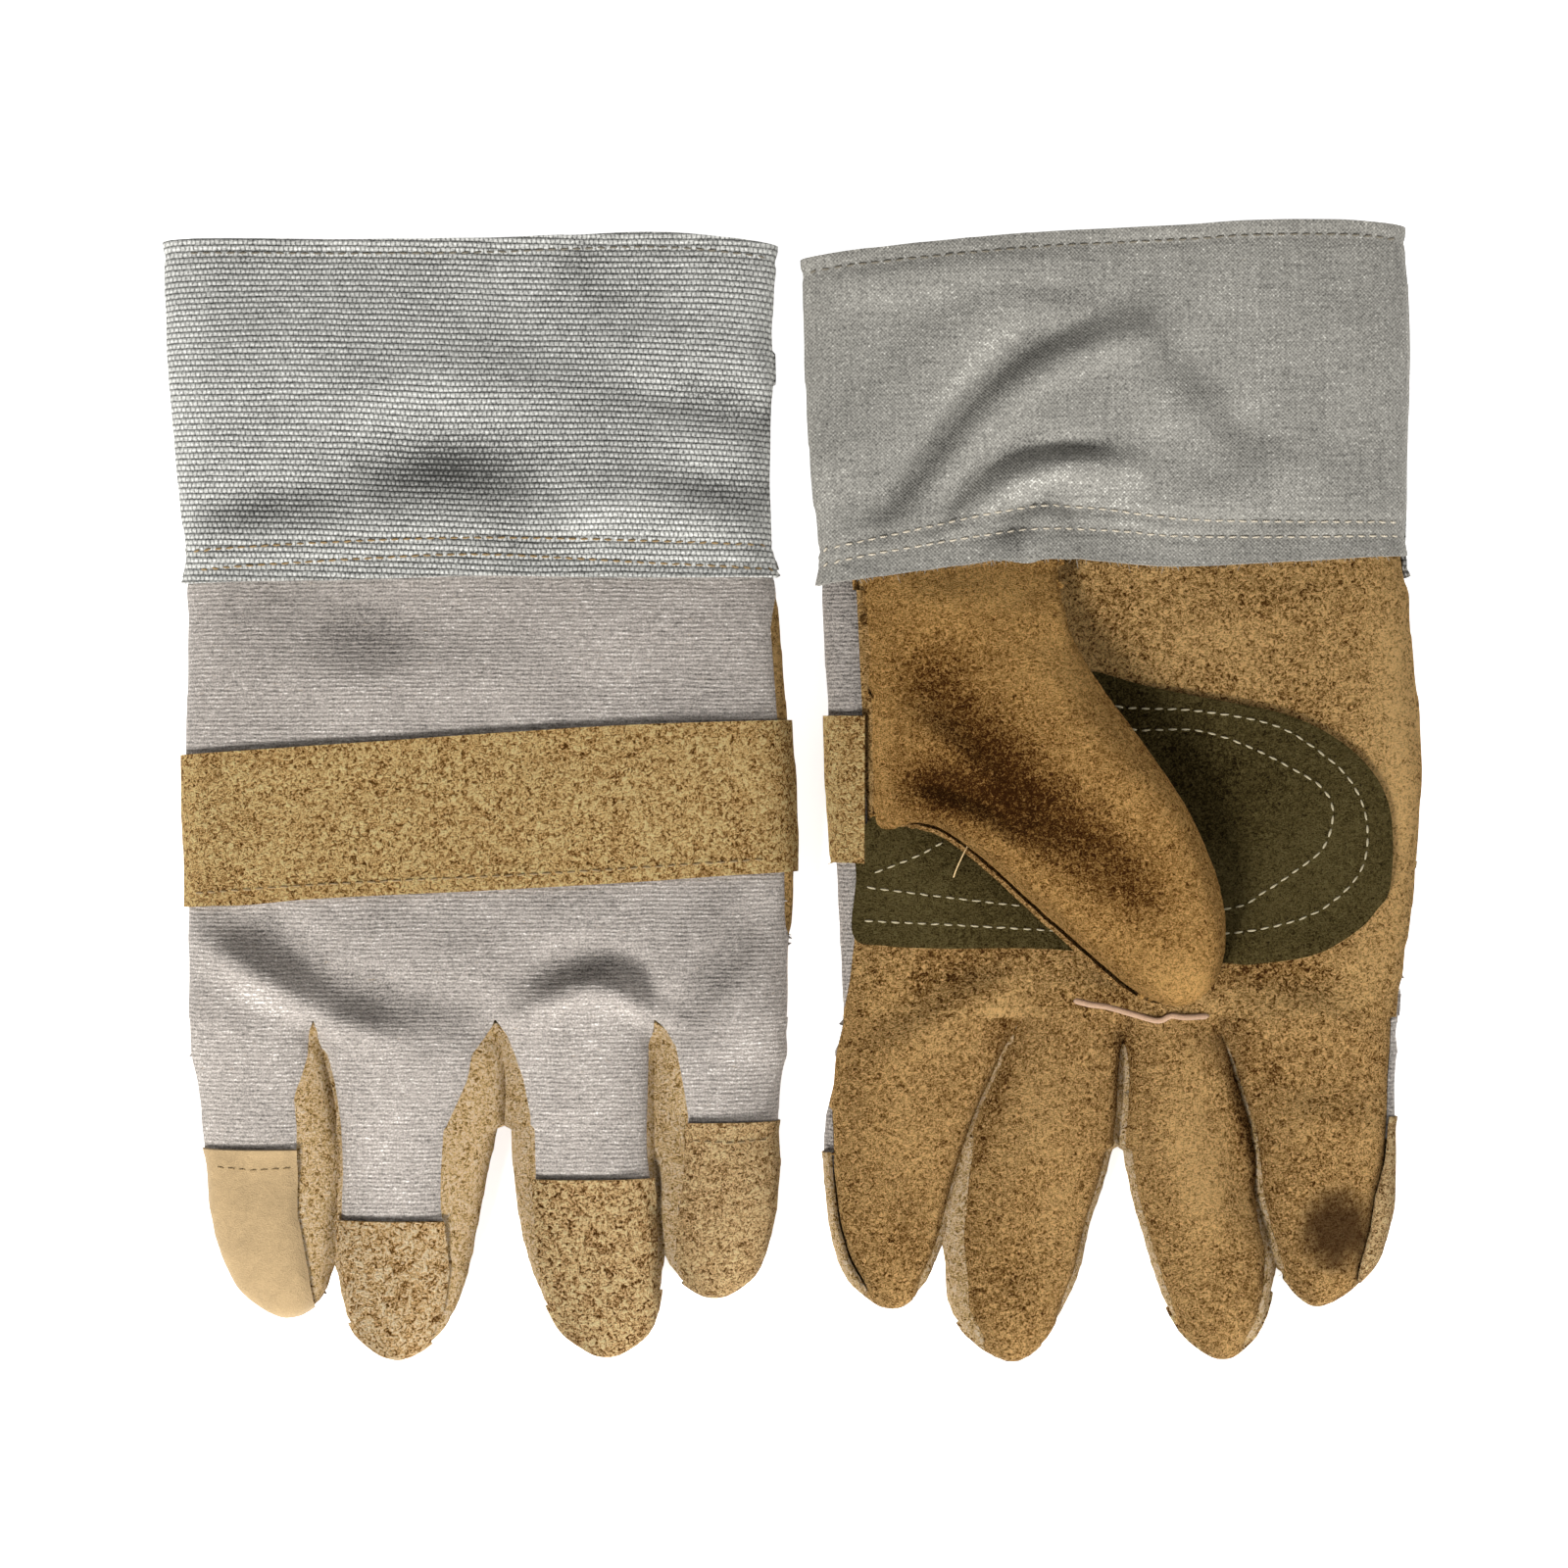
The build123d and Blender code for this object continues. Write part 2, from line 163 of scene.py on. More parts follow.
class Finger:
    """One finger of the flat glove: stations (y, middle, half width) from the knuckle to the tip."""

    def __init__(self, name, stations, tip, cap, back_left, back_right, palm_left, palm_right):
        self.name, self.stations, self.tip = name, stations, tip
        self.cap = cap
        self.widths = {
            ("back", "left"): back_left, ("back", "right"): back_right,
            ("palm", "left"): palm_left, ("palm", "right"): palm_right,
        }

    def middle(self, y):
        return along([(s[0], s[1]) for s in self.stations], y)

    def half(self, y, slim=True):
        full = along([(s[0], s[2]) for s in self.stations], y)
        return full - SLIM * (1 - smooth_step(y, -9, -2)) if slim else full

    def outline(self):
        """The finger's edge, running up into the hand so that the two melt into each other."""
        _, middle, half = self.stations[0]
        up = [(26, middle, half * 0.72), (13, middle, half * 0.93)]
        rows = up + [(y, m, float(self.half(y))) for y, m, _ in self.stations]
        left = [(m - h, y) for y, m, h in rows]
        right = [(m + h, y) for y, m, h in rows]
        return spline(left + [self.tip] + right[::-1], 5)

    def edge(self, way, y):
        """x of the finger's own edge on its left (-1) or right (1)."""
        return self.middle(y) + way * self.half(y)

    def edge_full(self, way, y):
        """The same at the finger's real width."""
        return self.middle(y) + way * self.half(y, False)


class Glove:
    """One glove: its sides and seams (y, x), mouth (x, y), fingers, folds, strap's edges and stitch rows."""

    def __init__(self, name, palm_up, left_side, right_side, mouth, back_seam, palm_seam, fingers, folds,
                 strap, rows):
        self.name, self.palm_up = name, palm_up
        self.left_side, self.right_side, self.mouth = left_side, right_side, mouth
        self.back_seam, self.palm_seam = back_seam, palm_seam
        self.fingers, self.folds = fingers, folds
        self.strap, self.rows = strap, rows
        hinge = HINGES[f"{name}_index_curl"]
        self.origin = Vector((hinge.x, hinge.y, 0))
        self.parts = {}

    def hand_outline(self):
        left = spline([(x, y) for y, x in self.left_side], 4)
        right = spline([(x, y) for y, x in self.right_side], 4)
        return np.vstack([left, right[::-1]])

    def divide(self, index, y):
        """x of the line between finger number index and the next one; far out beyond the outer fingers."""
        if index < 0:
            return np.full_like(np.asarray(y, float), -FAR)
        if index >= len(self.fingers) - 1:
            return np.full_like(np.asarray(y, float), FAR)
        one, two = self.fingers[index], self.fingers[index + 1]
        return (one.edge(1, y) + two.edge(-1, y)) / 2

    def border(self, index, side, way, y):
        """x of the seam between a finger's main piece and its side strip, or of the gap if it has none."""
        finger = self.fingers[index]
        name = "left" if way < 0 else "right"
        width = along(finger.widths[(side, name)], y)
        seam = finger.edge(way, y) - way * width
        gap = self.divide(index - 1 if way < 0 else index, y)
        clear = np.maximum(seam, gap) if way < 0 else np.minimum(seam, gap)
        return np.where(width > 0.05, clear, gap)

    def height(self, x, y):
        """How far the flat glove's surface stands off its middle plane, and how far inside the edge it is."""
        points = np.column_stack([x, y])
        hand = signed_distance(points, self.hand_outline()) + 0.6 - 1.5 * smooth_step(y, 99, 110)
        inside, total = hand, (pillow(hand, 15) * HALF_ROOM) ** 8
        for finger in self.fingers:
            d = signed_distance(points, finger.outline()) + GROW
            inside = np.maximum(inside, d)
            total = total + (pillow(d, 14) * HALF_ROOM) ** 8
        return np.minimum(total ** 0.125, HALF_ROOM * 1.04), inside

    def touching(self, index, way, y):
        """x of a finger's side once it leans against its neighbour, where the two are close."""
        edge = self.fingers[index].edge_full(way, y)
        gap_line = self.divide_full(index if way > 0 else index - 1, y)
        room = (gap_line - edge) * way
        reach = np.where(room < 1.5, room + 0.12, 0)
        return edge + way * reach * smooth_step(-y, 3, 12) * (1 - smooth_step(-y, 46, 60))

    def divide_full(self, index, y):
        if index < 0 or index >= len(self.fingers) - 1:
            return np.full_like(y, -FAR if index < 0 else FAR)
        return (self.fingers[index].edge_full(1, y) + self.fingers[index + 1].edge_full(-1, y)) / 2

    def unslim(self, x, y):
        """Gives the fingers back the width that kept them apart while they were shaped."""
        best = np.full(len(x), 1e9)
        out = x.copy()
        for index, finger in enumerate(self.fingers):
            middle, half = finger.middle(y), np.maximum(finger.half(y), 0.5)
            off = np.abs(x - middle) / half
            way = np.where(x < middle, -1, 1)
            side = np.where(way < 0, self.touching(index, -1, y), self.touching(index, 1, y))
            grown = middle + (x - middle) * np.abs(side - middle) / half
            nearer = (off < best) & (y < 0)
            best = np.where(nearer, off, best)
            out = np.where(nearer, grown, out)
        return out

    def lay_height(self, x, y):
        """The height of the outside of the back where the glove lies palm down, over its own thumb."""
        top = np.full(len(x), TOP)
        top = top - 11.8 * smooth_step(y, 108, 188)
        fingers = np.clip(-y / 78.0, 0, 1.1)
        top = top - 13.4 * (0.35 * fingers + 0.65 * smooth_step(fingers, -0.15, 1.0))
        aside = smooth_step(x, 22, 74) * (1 - smooth_step(y, 120, 175)) * (1 - smooth_step(-y, 8, 55))
        near = smooth_step(-x, 52, 74) * (1 - smooth_step(y, 110, 170)) * (1 - smooth_step(-y, 4, 50))
        return top - 7.5 * aside - 2.5 * near

    def lay(self, obj):
        """From the flat shape to the place in the frame."""
        mesh = obj.data
        co = np.empty(len(mesh.vertices) * 3)
        mesh.vertices.foreach_get("co", co)
        co = co.reshape(-1, 3)
        co[:, 0] = self.unslim(co[:, 0], co[:, 1])
        if self.palm_up:
            z = co[:, 2]
        else:
            z = self.lay_height(co[:, 0], co[:, 1]) - co[:, 2]
        flat = mesh.attributes.new("flat", "FLOAT_VECTOR", "POINT")
        flat.data.foreach_set("vector", co.astype(np.float32).ravel())
        z = np.maximum(z, 0.02)
        out = np.column_stack([co[:, 0] * MM + self.origin.x, co[:, 1] * MM + self.origin.y, z * MM])
        mesh.vertices.foreach_set("co", out.ravel())
        if not self.palm_up:
            mesh.flip_normals()
        mesh.update()

    def place(self, x, y, depth):
        """One point of the flat shape, placed in the frame."""
        z = depth if self.palm_up else float(self.lay_height(np.array([x]), np.array([y]))[0]) - depth
        return Vector((x * MM + self.origin.x, y * MM + self.origin.y, z * MM))


# ---------------------------------------------------------------- the two gloves' own shapes
NONE = [(0, 0)]
BACK_STRIPS = {
    "index": (NONE, [(-1, 0), (-2.5, 1.2), (-8, 2.6), (-18, 7.6), (-31, 8.4), (-46, 8.2), (-60, 4.6),
                     (-67, 1.5), (-72, 1)]),
    "middle": ([(-6, 0), (-9, 0.8), (-70, 0.8), (-74, 0)],
               [(-1, 0), (-2.5, 1.2), (-8, 6), (-25, 11.5), (-44, 8.6), (-58, 4.6), (-70, 2.2), (-79, 1)]),
    "ring": ([(-1, 0), (-3, 1.4), (-8, 2.8), (-23, 5.6), (-36, 5.0), (-50, 3.4), (-64, 1.2), (-70, 0)],
             [(-3, 0), (-6, 1.0), (-30, 1.6), (-60, 1.0), (-66, 0)]),
    "little": ([(-1, 0), (-2, 2.0), (-6, 4.4), (-23, 7.2), (-37, 5.8), (-53, 2.6), (-60, 1.2), (-64, 0)],
               NONE),
}
PALM_STRIPS = {
    "index": ([(-20, 0), (-26, 0.7), (-40, 1.3), (-56, 1.7), (-66, 1.4), (-72, 1.0)],
              [(-4, 0), (-10, 0.6), (-60, 0.8), (-66, 0)]),
    "middle": ([(-28, 0), (-34, 1.4), (-46, 3.4), (-62, 4.2), (-72, 3.2), (-80, 1.4)],
               [(-6, 0), (-14, 0.8), (-66, 0.8), (-72, 0)]),
    "ring": ([(-6, 0), (-12, 0.8), (-66, 0.9), (-72, 0)],
             [(-40, 0), (-46, 0.9), (-60, 1.6), (-70, 1.6), (-78, 0.8)]),
    "little": ([(-6, 0), (-12, 0.6), (-54, 0.8), (-62, 0)],
               [(-6, 0.6), (-20, 1.4), (-34, 2.6), (-42, 4.6), (-52, 4.4), (-60, 3.0), (-66, 1.6)]),
}
CAP_AT = {"index": (-30.6, -32.0), "middle": (-47.6, -47.2), "ring": (-37.6, -34.6), "little": (-24.4, -23.6)}


def finger(name, stations, tip):
    back, palm = BACK_STRIPS[name], PALM_STRIPS[name]
    return Finger(name, stations, tip, CAP_AT[name], *back, *palm)


LEFT = Glove(
    "left", False,
    left_side=[(-3, -68.5), (4, -68.7), (22, -69.1), (60, -69.4), (88, -69.2), (105, -69.7), (124, -71.8),
               (142, -73.4), (161, -74.9), (183, -76.4), (202, -77.8)],
    right_side=[(-3, 70.6), (4, 71.1), (14, 71.5), (32, 72.3), (50, 72.2), (69, 71.0), (87, 69.2),
                (106, 68.1),
                (124, 67.4), (152, 67.3), (170, 68.1), (183, 68.8), (202, 69.6)],
    mouth=[(-80, 183.3), (-40, 183.0), (0, 183.2), (22, 184.2), (42, 184.4), (58, 183.2), (80, 180.8)],
    back_seam=[(-9, 78), (10, 78), (14, 74), (22, 71.0), (50, 70.6), (92, 67.6), (100, 69), (120, 72)],
    palm_seam=[(-9, -70), (0, -66.5), (9, -63.5), (36, -61), (44, -59.5), (78, -61), (103, -62), (124, -62)],
    fingers=[
        finger("index", [(0, -54, 14.6), (-14, -51.9, 15.3), (-25.5, -50.4, 15.6), (-37, -49.9, 15.3),
                         (-48.5, -49.5, 14.4), (-60, -48.5, 12.0), (-67, -47.4, 8.3)], (-47.2, -71.3)),
        finger("middle", [(0, -18.2, 21.0), (-14, -15.3, 20.2), (-25, -15.6, 18.8), (-37, -16.9, 17.3),
                          (-50, -18.5, 16.6), (-60, -19.4, 15.5), (-69.2, -20.5, 13.2), (-76, -21, 9.4)],
               (-21.4, -81.4)),
        finger("ring", [(0, 21.6, 18.4), (-14, 22.7, 17.2), (-32, 23.2, 16.8), (-41.6, 24.1, 17.0),
                        (-50.8, 25, 16.6), (-60, 26.2, 15.2), (-69.2, 27.6, 12.8), (-76, 28.2, 9.2)],
               (28.0, -81.2)),
        finger("little", [(0, 55.4, 15.2), (-14, 55, 14.6), (-25, 54.5, 14.3), (-37, 54.8, 14.1),
                          (-48, 54.5, 13.0), (-57, 54.3, 11.0), (-62.5, 54.2, 7.9)], (54.2, -66.6)),
    ],
    folds={
        "back": [
            ([(-66, 19), (-56, 13), (-44, 6), (-30, -1), (-20, -4)], 4.0, 2.6),
            ([(-62, 27), (-50, 20), (-38, 12), (-24, 5), (-4, 3)], 6.0, -2.8),
            ([(10, 1), (17, 5.5), (25, 7.5), (33, 6), (40, 1)], 3.4, 2.8),
            ([(10, 9), (18, 14), (27, 15.5), (36, 12), (42, 6)], 4.2, -2.4),
            ([(70, 28), (60, 18), (52, 9), (46, 0)], 5.0, -2.6), ([(56, 26), (48, 14), (43, 5)], 5.0, 1.6),
            ([(-40, 96), (-28, 91), (-14, 93)], 8.0, -1.6), ([(-60, 84), (-20, 78), (20, 84)], 9.0, 1.0),
            ([(20, 95), (55, 90)], 8.0, 0.9), ([(30, 50), (60, 56)], 12.0, 0.5),
            ([(-66, 118), (-50, 121), (-34, 124)], 6.0, -1.8),
            ([(-30, 126), (-8, 131), (14, 125)], 8.5, -3.0),
            ([(-34, 143), (-8, 149), (20, 142)], 9.0, 1.8), ([(34, 148), (52, 144), (70, 138)], 5.0, -2.0),
            ([(34, 158), (56, 155), (72, 150)], 8.0, 1.4), ([(20, 116), (36, 120), (54, 117)], 7.0, 1.8),
            ([(44, 128), (60, 123), (70, 122)], 5.0, -1.4), ([(-66, 150), (-40, 160), (-10, 168)], 12.0, 1.2),
            ([(18, 182), (26, 176), (30, 166)], 6.0, -1.4),
        ],
        "palm": [([(-40, 120), (0, 135), (40, 150)], 10, 1.2), ([(-20, 150), (30, 140)], 9, -1.2),
                 ([(-20, 20), (20, 10)], 8, 1.0)],
    },
    strap=([(-70.6, 26.0), (-38, 28.4), (15, 31.0), (72.7, 34.6)],
           [(-69.5, 61.8), (0, 66.6), (34, 68.7), (71, 70.0)]),
    rows={
        "back": {"edge": [(-72, 101.8), (-30, 102.6), (0, 103.4), (35, 103.0), (74, 103.8)],
                 "upper": [(-68, 109.3), (-30, 111.4), (0, 112.2), (36, 111.6), (67.4, 111.0)],
                 "lower": [(-66, 104.9), (-30, 107.2), (0, 108.3), (36, 106.6), (67.4, 105.4)]},
        "palm": {"edge": [(-72, 103), (0, 107), (74, 105)],
                 "upper": [(-68, 112), (0, 117), (67, 114)], "lower": [(-68, 108), (0, 112), (67, 110)]},
    },
)
RIGHT = Glove(
    "right", True,
    left_side=[(-3, -64.4), (4, -64.1), (14, -64.4), (32, -65.2), (50, -66.6), (69, -67.6), (88, -68.2),
               (105, -69.4),
               (118, -70.6), (133, -71.8), (152, -73.3), (170, -73.9), (183, -74.1), (202, -74.4)],
    right_side=[(-3, 66.7), (4, 67.3), (14, 68.9), (32, 71.2), (50, 72.3), (69, 72.1), (87, 70.8),
                (106, 69.4),
                (124, 69.8), (142, 70.5), (160, 70.1), (186, 68.9), (202, 68.4)],
    mouth=[(-80, 178.0), (-60, 180.4), (-20, 184.3), (14, 186.2), (34, 187.3), (58, 187.2), (80, 185.2)],
    back_seam=[(-9, 78), (10, 76), (14, 70), (22, 68.0), (50, 69.0), (92, 67.6), (100, 69), (120, 72)],
    palm_seam=[(-9, -69), (0, -64.6), (9, -62.8), (36, -59.6), (44, -58.4), (78, -60), (103, -61.2),
               (124, -61.2)],
    fingers=[
        finger("index", [(0, -43.2, 21.0), (-14, -47, 19.0), (-23, -49.8, 17.7), (-37, -52.3, 15.6),
                         (-48.5, -53.2, 13.6), (-57, -53.4, 11.2), (-64, -53.0, 7.4)], (-52.2, -69.2)),
        finger("middle", [(0, -10, 12.0), (-14, -12.9, 14.9), (-23, -15.2, 16.5), (-37, -19.2, 17.4),
                          (-48.5, -22.5, 17.0), (-60, -23.9, 15.8), (-69.2, -25.2, 13.3),
                          (-76.5, -24.6, 8.8)],
               (-24, -81.8)),
        finger("ring", [(0, 13.2, 11.0), (-14, 15.2, 12.9), (-28, 17.2, 15.0), (-41.6, 18.9, 14.9),
                        (-55, 22.6, 14.8), (-64, 24.0, 13.4), (-72, 24.8, 10.4), (-77, 25.4, 6.8)],
                        (26.0, -81.2)),
        finger("little", [(0, 45.4, 21.0), (-14, 47.3, 18.8), (-28, 49.8, 16.7), (-41.6, 50.2, 16.0),
                          (-51, 50.3, 14.4), (-60, 50.1, 10.6)], (48.6, -68.4)),
    ],
    folds={
        "palm": [
            ([(-54, 120), (-46, 129), (-34, 145), (-20, 158), (0, 168)], 3.6, -2.8),
            ([(-48, 116), (-38, 131), (-26, 145), (-12, 154), (6, 160)], 3.6, 2.4),
            ([(-38, 121), (-30, 130), (-20, 134.5), (-4, 135)], 3.0, -2.6),
            ([(-36, 116), (-26, 124), (-12, 129), (6, 129)], 3.4, 2.2),
            ([(-68, 124), (-60, 138), (-44, 156), (-24, 168)], 6.5, 1.6),
            ([(2, 166), (8, 150), (18, 138)], 6.0, 1.6),
            ([(14, 158), (26, 146), (34, 132)], 6.5, -1.3), ([(14, 121), (30, 124), (40, 134)], 6.0, 1.3),
            ([(-28, 106), (-20, 113), (-16, 122)], 3.0, 1.6),
            ([(-12, 104), (-9, 114), (-12, 122)], 3.0, -1.2),
            ([(-66, 172), (-40, 176), (-10, 178)], 5.0, 1.2), ([(40, 168), (56, 160), (66, 148)], 9.0, 1.1),
            ([(-60, -1), (-50, 4), (-38, 12), (-26, 14)], 5.0, -1.8),
            ([(-56, -12), (-46, -4), (-34, 3), (-24, 8)], 4.4, 1.8),
            ([(-58, -16), (-57, -34), (-54, -52)], 4.0, 1.2), ([(-50, -30), (-48, -46)], 4.0, -0.9),
            ([(-12, -20), (-22, -36), (-28, -60)], 4.0, 1.2),
            ([(-14, -38), (-20, -54), (-26, -64)], 3.6, -1.2),
            ([(10, -18), (14, -34), (22, -50)], 3.6, 1.2), ([(18, -14), (26, -30), (30, -46)], 4.0, -1.0),
            ([(26, 2), (34, -2), (46, 0), (58, -4)], 4.2, 1.7), ([(26, 10), (38, 11), (54, 8)], 5.0, -1.8),
            ([(32, -14), (40, -15), (48, -18)], 4.6, -1.4), ([(40, -26), (50, -24), (58, -26)], 5.0, 1.4),
            ([(64, 4), (60, -20)], 5.0, -0.8), ([(-22, 2), (-16, 6), (-6, 6.5), (4, 4)], 3.0, 1.2),
            ([(44, 90), (60, 70), (66, 50)], 9.0, 1.0), ([(20, 94), (40, 98), (60, 94)], 7.0, 0.8),
        ],
        "back": [([(-60, 130), (0, 140), (60, 130)], 11, 0.6), ([(-40, 8), (0, 4), (40, 8)], 8, -0.8)],
    },
    strap=([(-70.6, 36.8), (0, 34), (72.7, 32.0)], [(-69.5, 71.2), (0, 70), (71, 67.5)]),
    rows={
        "palm": {"edge": [(-74, 101.4), (-66, 102.2), (-30, 107.0), (-12, 107.9), (12, 106.2), (40, 107.2),
                          (74, 109.3)],
                 "upper": [(-69.5, 110.0), (-55, 112.9), (-23, 119.6), (-7, 119.9), (16, 117.2),
                           (40, 116.6), (67.5, 116.6)],
                 "lower": [(-69.5, 106.4), (-52, 109.8), (-21, 114.6), (0, 114.4), (14, 113.2), (40, 113.0),
                           (67.5, 113.4)]},
        "back": {"edge": [(-72, 102.6), (0, 104), (74, 103.8)],
                 "upper": [(-68, 110), (0, 112), (67.4, 111)],
                 "lower": [(-66, 105.6), (0, 108), (67.4, 106)]},
    },
)
GLOVES = (LEFT, RIGHT)
THUMB_OUTLINE = [
    (-60.6, 113), (-60.8, 96), (-59.6, 78), (-58.4, 60), (-57.6, 45.5), (-53.5, 43.2), (-48, 45.2),
    (-41.5, 44.2),
    (-32, 37.4), (-18.6, 25.2), (-8, 15.8), (3, 6.6), (13.5, 2.4), (21.5, 6.0), (25.4, 15.4), (24.6, 30),
    (17.4, 48), (5.6, 66), (-4.6, 80), (-10.6, 92), (-12.6, 107), (-12.6, 114),
]
PATCH_OUTLINE = [
    (-14, 80), (-5.6, 81.4), (7, 78), (24.3, 74.5), (38, 71.8), (48.5, 67.6), (57.7, 60.7), (63.4, 51.5),
    (64.8, 41.2), (64, 30), (61.2, 25.6), (56.5, 20.5), (47.3, 15.4), (33.5, 13.1), (25.5, 13.1),
    (-10.2, 15.9),
    (-27.4, 16.6), (-44.7, 16.6), (-54, 17), (-61, 19), (-60.6, 32), (-59.2, 44.6), (-44, 58), (-30, 68),
]
PATCH_ROWS = [
    [(-59.6, 22.9), (-36, 21.8), (-12.5, 20.5), (8, 19.6), (26.6, 20), (41.6, 22.8), (50.8, 27.4),
     (57.7, 35.4),
     (58.8, 45.8), (55.4, 55), (48.5, 61.9), (37, 68.8), (18.6, 72.2), (2.5, 72.9), (-8, 75)],
    [(-59, 30.8), (-38, 28.2), (-19.4, 26.2), (4, 25), (26.6, 25.8), (34.7, 29.7), (41.6, 34.3), (48.5, 40),
     (50.8, 48), (48.5, 53.8), (41.6, 58.4), (30, 64.2), (18.6, 67.6), (5.9, 67.6), (-6, 68), (-26, 58),
     (-40, 41.9), (-58.6, 33.4)],
]


# ---------------------------------------------------------------- mesh helpers
def as_object(name, bm):
    mesh = bpy.data.meshes.new(name)
    bm.to_mesh(mesh)
    bm.free()
    obj = bpy.data.objects.new(name, mesh)
    bpy.context.scene.collection.objects.link(obj)
    return obj


def discard(obj):
    mesh = obj.data
    bpy.data.objects.remove(obj)
    bpy.data.meshes.remove(mesh)


def apply_modifiers(obj):
    """The object's mesh with its modifiers made final."""
    graph = bpy.context.evaluated_depsgraph_get()
    mesh = bpy.data.meshes.new_from_object(obj.evaluated_get(graph))
    old = obj.data
    obj.modifiers.clear()
    obj.data = mesh
    bpy.data.meshes.remove(old)


def coords(mesh):
    co = np.empty(len(mesh.vertices) * 3)
    mesh.vertices.foreach_get("co", co)
    return co.reshape(-1, 3)


def normals(mesh):
    no = np.empty(len(mesh.vertices) * 3, np.float32)
    mesh.vertex_normals.foreach_get("vector", no)
    return no.reshape(-1, 3).astype(float)


def set_coords(mesh, co):
    mesh.vertices.foreach_set("co", np.ascontiguousarray(co, float).ravel())
    mesh.update()


def pad_from_grid(name, low, high, inside_at, heights):
    """A closed pad: a grid trimmed to where inside_at is positive, with its rim on the edge and two skins."""
    bm = bmesh.new()
    size = Vector((high[0] - low[0], high[1] - low[1]))
    steps = (int(size.x / CELL), int(size.y / CELL))
    middle = Matrix.Translation(((low[0] + high[0]) / 2, (low[1] + high[1]) / 2, 0))
    stretch = Matrix.Diagonal((size.x / 2, size.y / 2, 1, 1))
    bmesh.ops.create_grid(bm, x_segments=steps[0], y_segments=steps[1], size=1, matrix=middle @ stretch)
    bm.verts.ensure_lookup_table()
    xy = np.array([v.co[:2] for v in bm.verts])
    d = inside_at(xy)
    step = 0.05
    slope = np.column_stack([
        (inside_at(xy + (step, 0)) - d) / step,
        (inside_at(xy + (0, step)) - d) / step,
    ])
    near = np.abs(d) < 0.62 * CELL
    xy = np.where(near[:, None], xy - slope * d[:, None], xy)
    for vert, (x, y) in zip(bm.verts, xy):
        vert.co.x, vert.co.y = x, y
    bmesh.ops.delete(bm, geom=[v for v, k in zip(bm.verts, d) if k < -0.62 * CELL], context="VERTS")
    loose = [v for v in bm.verts if not v.link_faces]
    bmesh.ops.delete(bm, geom=loose, context="VERTS")
    base = list(bm.verts)
    made = bmesh.ops.extrude_face_region(bm, geom=list(bm.faces))
    lifted = [g for g in made["geom"] if isinstance(g, bmesh.types.BMVert)]
    for verts, which in ((base, 0), (lifted, 1)):
        z = heights(np.array([v.co[:2] for v in verts]))[which]
        for vert, height in zip(verts, z):
            vert.co.z = height
    bmesh.ops.recalc_face_normals(bm, faces=bm.faces)
    obj = as_object(name, bm)
    remesh = obj.modifiers.new("even", "REMESH")
    remesh.mode, remesh.voxel_size = "VOXEL", VOXEL
    apply_modifiers(obj)
    bm = bmesh.new()
    bm.from_mesh(obj.data)
    for _ in range(4):
        bmesh.ops.smooth_vert(
            bm, verts=bm.verts, factor=0.5, use_axis_x=True, use_axis_y=True, use_axis_z=True
        )
    bm.to_mesh(obj.data)
    bm.free()
    return obj


def unevenness(points, size, seed):
    """Gentle random waves over a surface, between about -1 and 1, the same at each run."""
    shift = Vector((seed * 17.3, seed * 5.1, seed * 9.7))
    return np.array([noise.noise(Vector(p) / size + shift) for p in points])


def crumple(obj, glove):
    """Presses the glove's folds and its slight unevenness into the pad."""
    mesh = obj.data
    co, no = coords(mesh), normals(mesh)
    push = np.zeros(len(co))
    for side, way in (("back", -1), ("palm", 1)):
        facing = np.clip(no[:, 2] * way * 1.6, 0, 1)
        for points, width, height in glove.folds[side]:
            gap, place = line_distance(co[:, :2], spline(points, 6))
            fade = smooth_step(place, -0.05, 0.25) * (1 - smooth_step(place, 0.75, 1.05))
            push += facing * height * np.exp(-((gap / width) ** 2)) * (0.35 + 0.65 * fade)
    seed = 3 if glove.palm_up else 7
    push += 0.55 * unevenness(co, 26.0, seed) + 0.22 * unevenness(co, 9.0, seed + 1)
    cuffed = smooth_step(co[:, 1], 112, 130)
    push += cuffed * 0.9 * unevenness(co, 38.0, seed + 2)
    set_coords(mesh, co + no * push[:, None])


def prism(outline, low, high):
    """A closed cutter that stands on an outline. Its faces carry material 1."""
    bm = bmesh.new()
    verts = [bm.verts.new((x, y, low)) for x, y in outline]
    face = bm.faces.new(verts)
    made = bmesh.ops.extrude_face_region(bm, geom=[face])
    lifted = [g for g in made["geom"] if isinstance(g, bmesh.types.BMVert)]
    bmesh.ops.translate(bm, verts=lifted, vec=(0, 0, high - low))
    bmesh.ops.recalc_face_normals(bm, faces=bm.faces)
    for face in bm.faces:
        face.material_index = 1
    return as_object("cutter", bm)


def keep_inside(pad, cutter):
    """The part of a pad's skin that is inside a cutter, as an open sheet. The cutter is used up."""
    piece = pad.copy()
    piece.data = pad.data.copy()
    bpy.context.scene.collection.objects.link(piece)
    both = piece.modifiers.new("cut", "BOOLEAN")
    both.operation, both.solver, both.object = "INTERSECT", "MANIFOLD", cutter
    apply_modifiers(piece)
    discard(cutter)
    bm = bmesh.new()
    bm.from_mesh(piece.data)
    bmesh.ops.delete(bm, geom=[f for f in bm.faces if f.material_index == 1], context="FACES")
    bmesh.ops.remove_doubles(bm, verts=bm.verts, dist=0.02)
    bmesh.ops.dissolve_degenerate(bm, edges=bm.edges, dist=0.01)
    for face in bm.faces:
        face.smooth = True
    bm.to_mesh(piece.data)
    bm.free()
    return piece


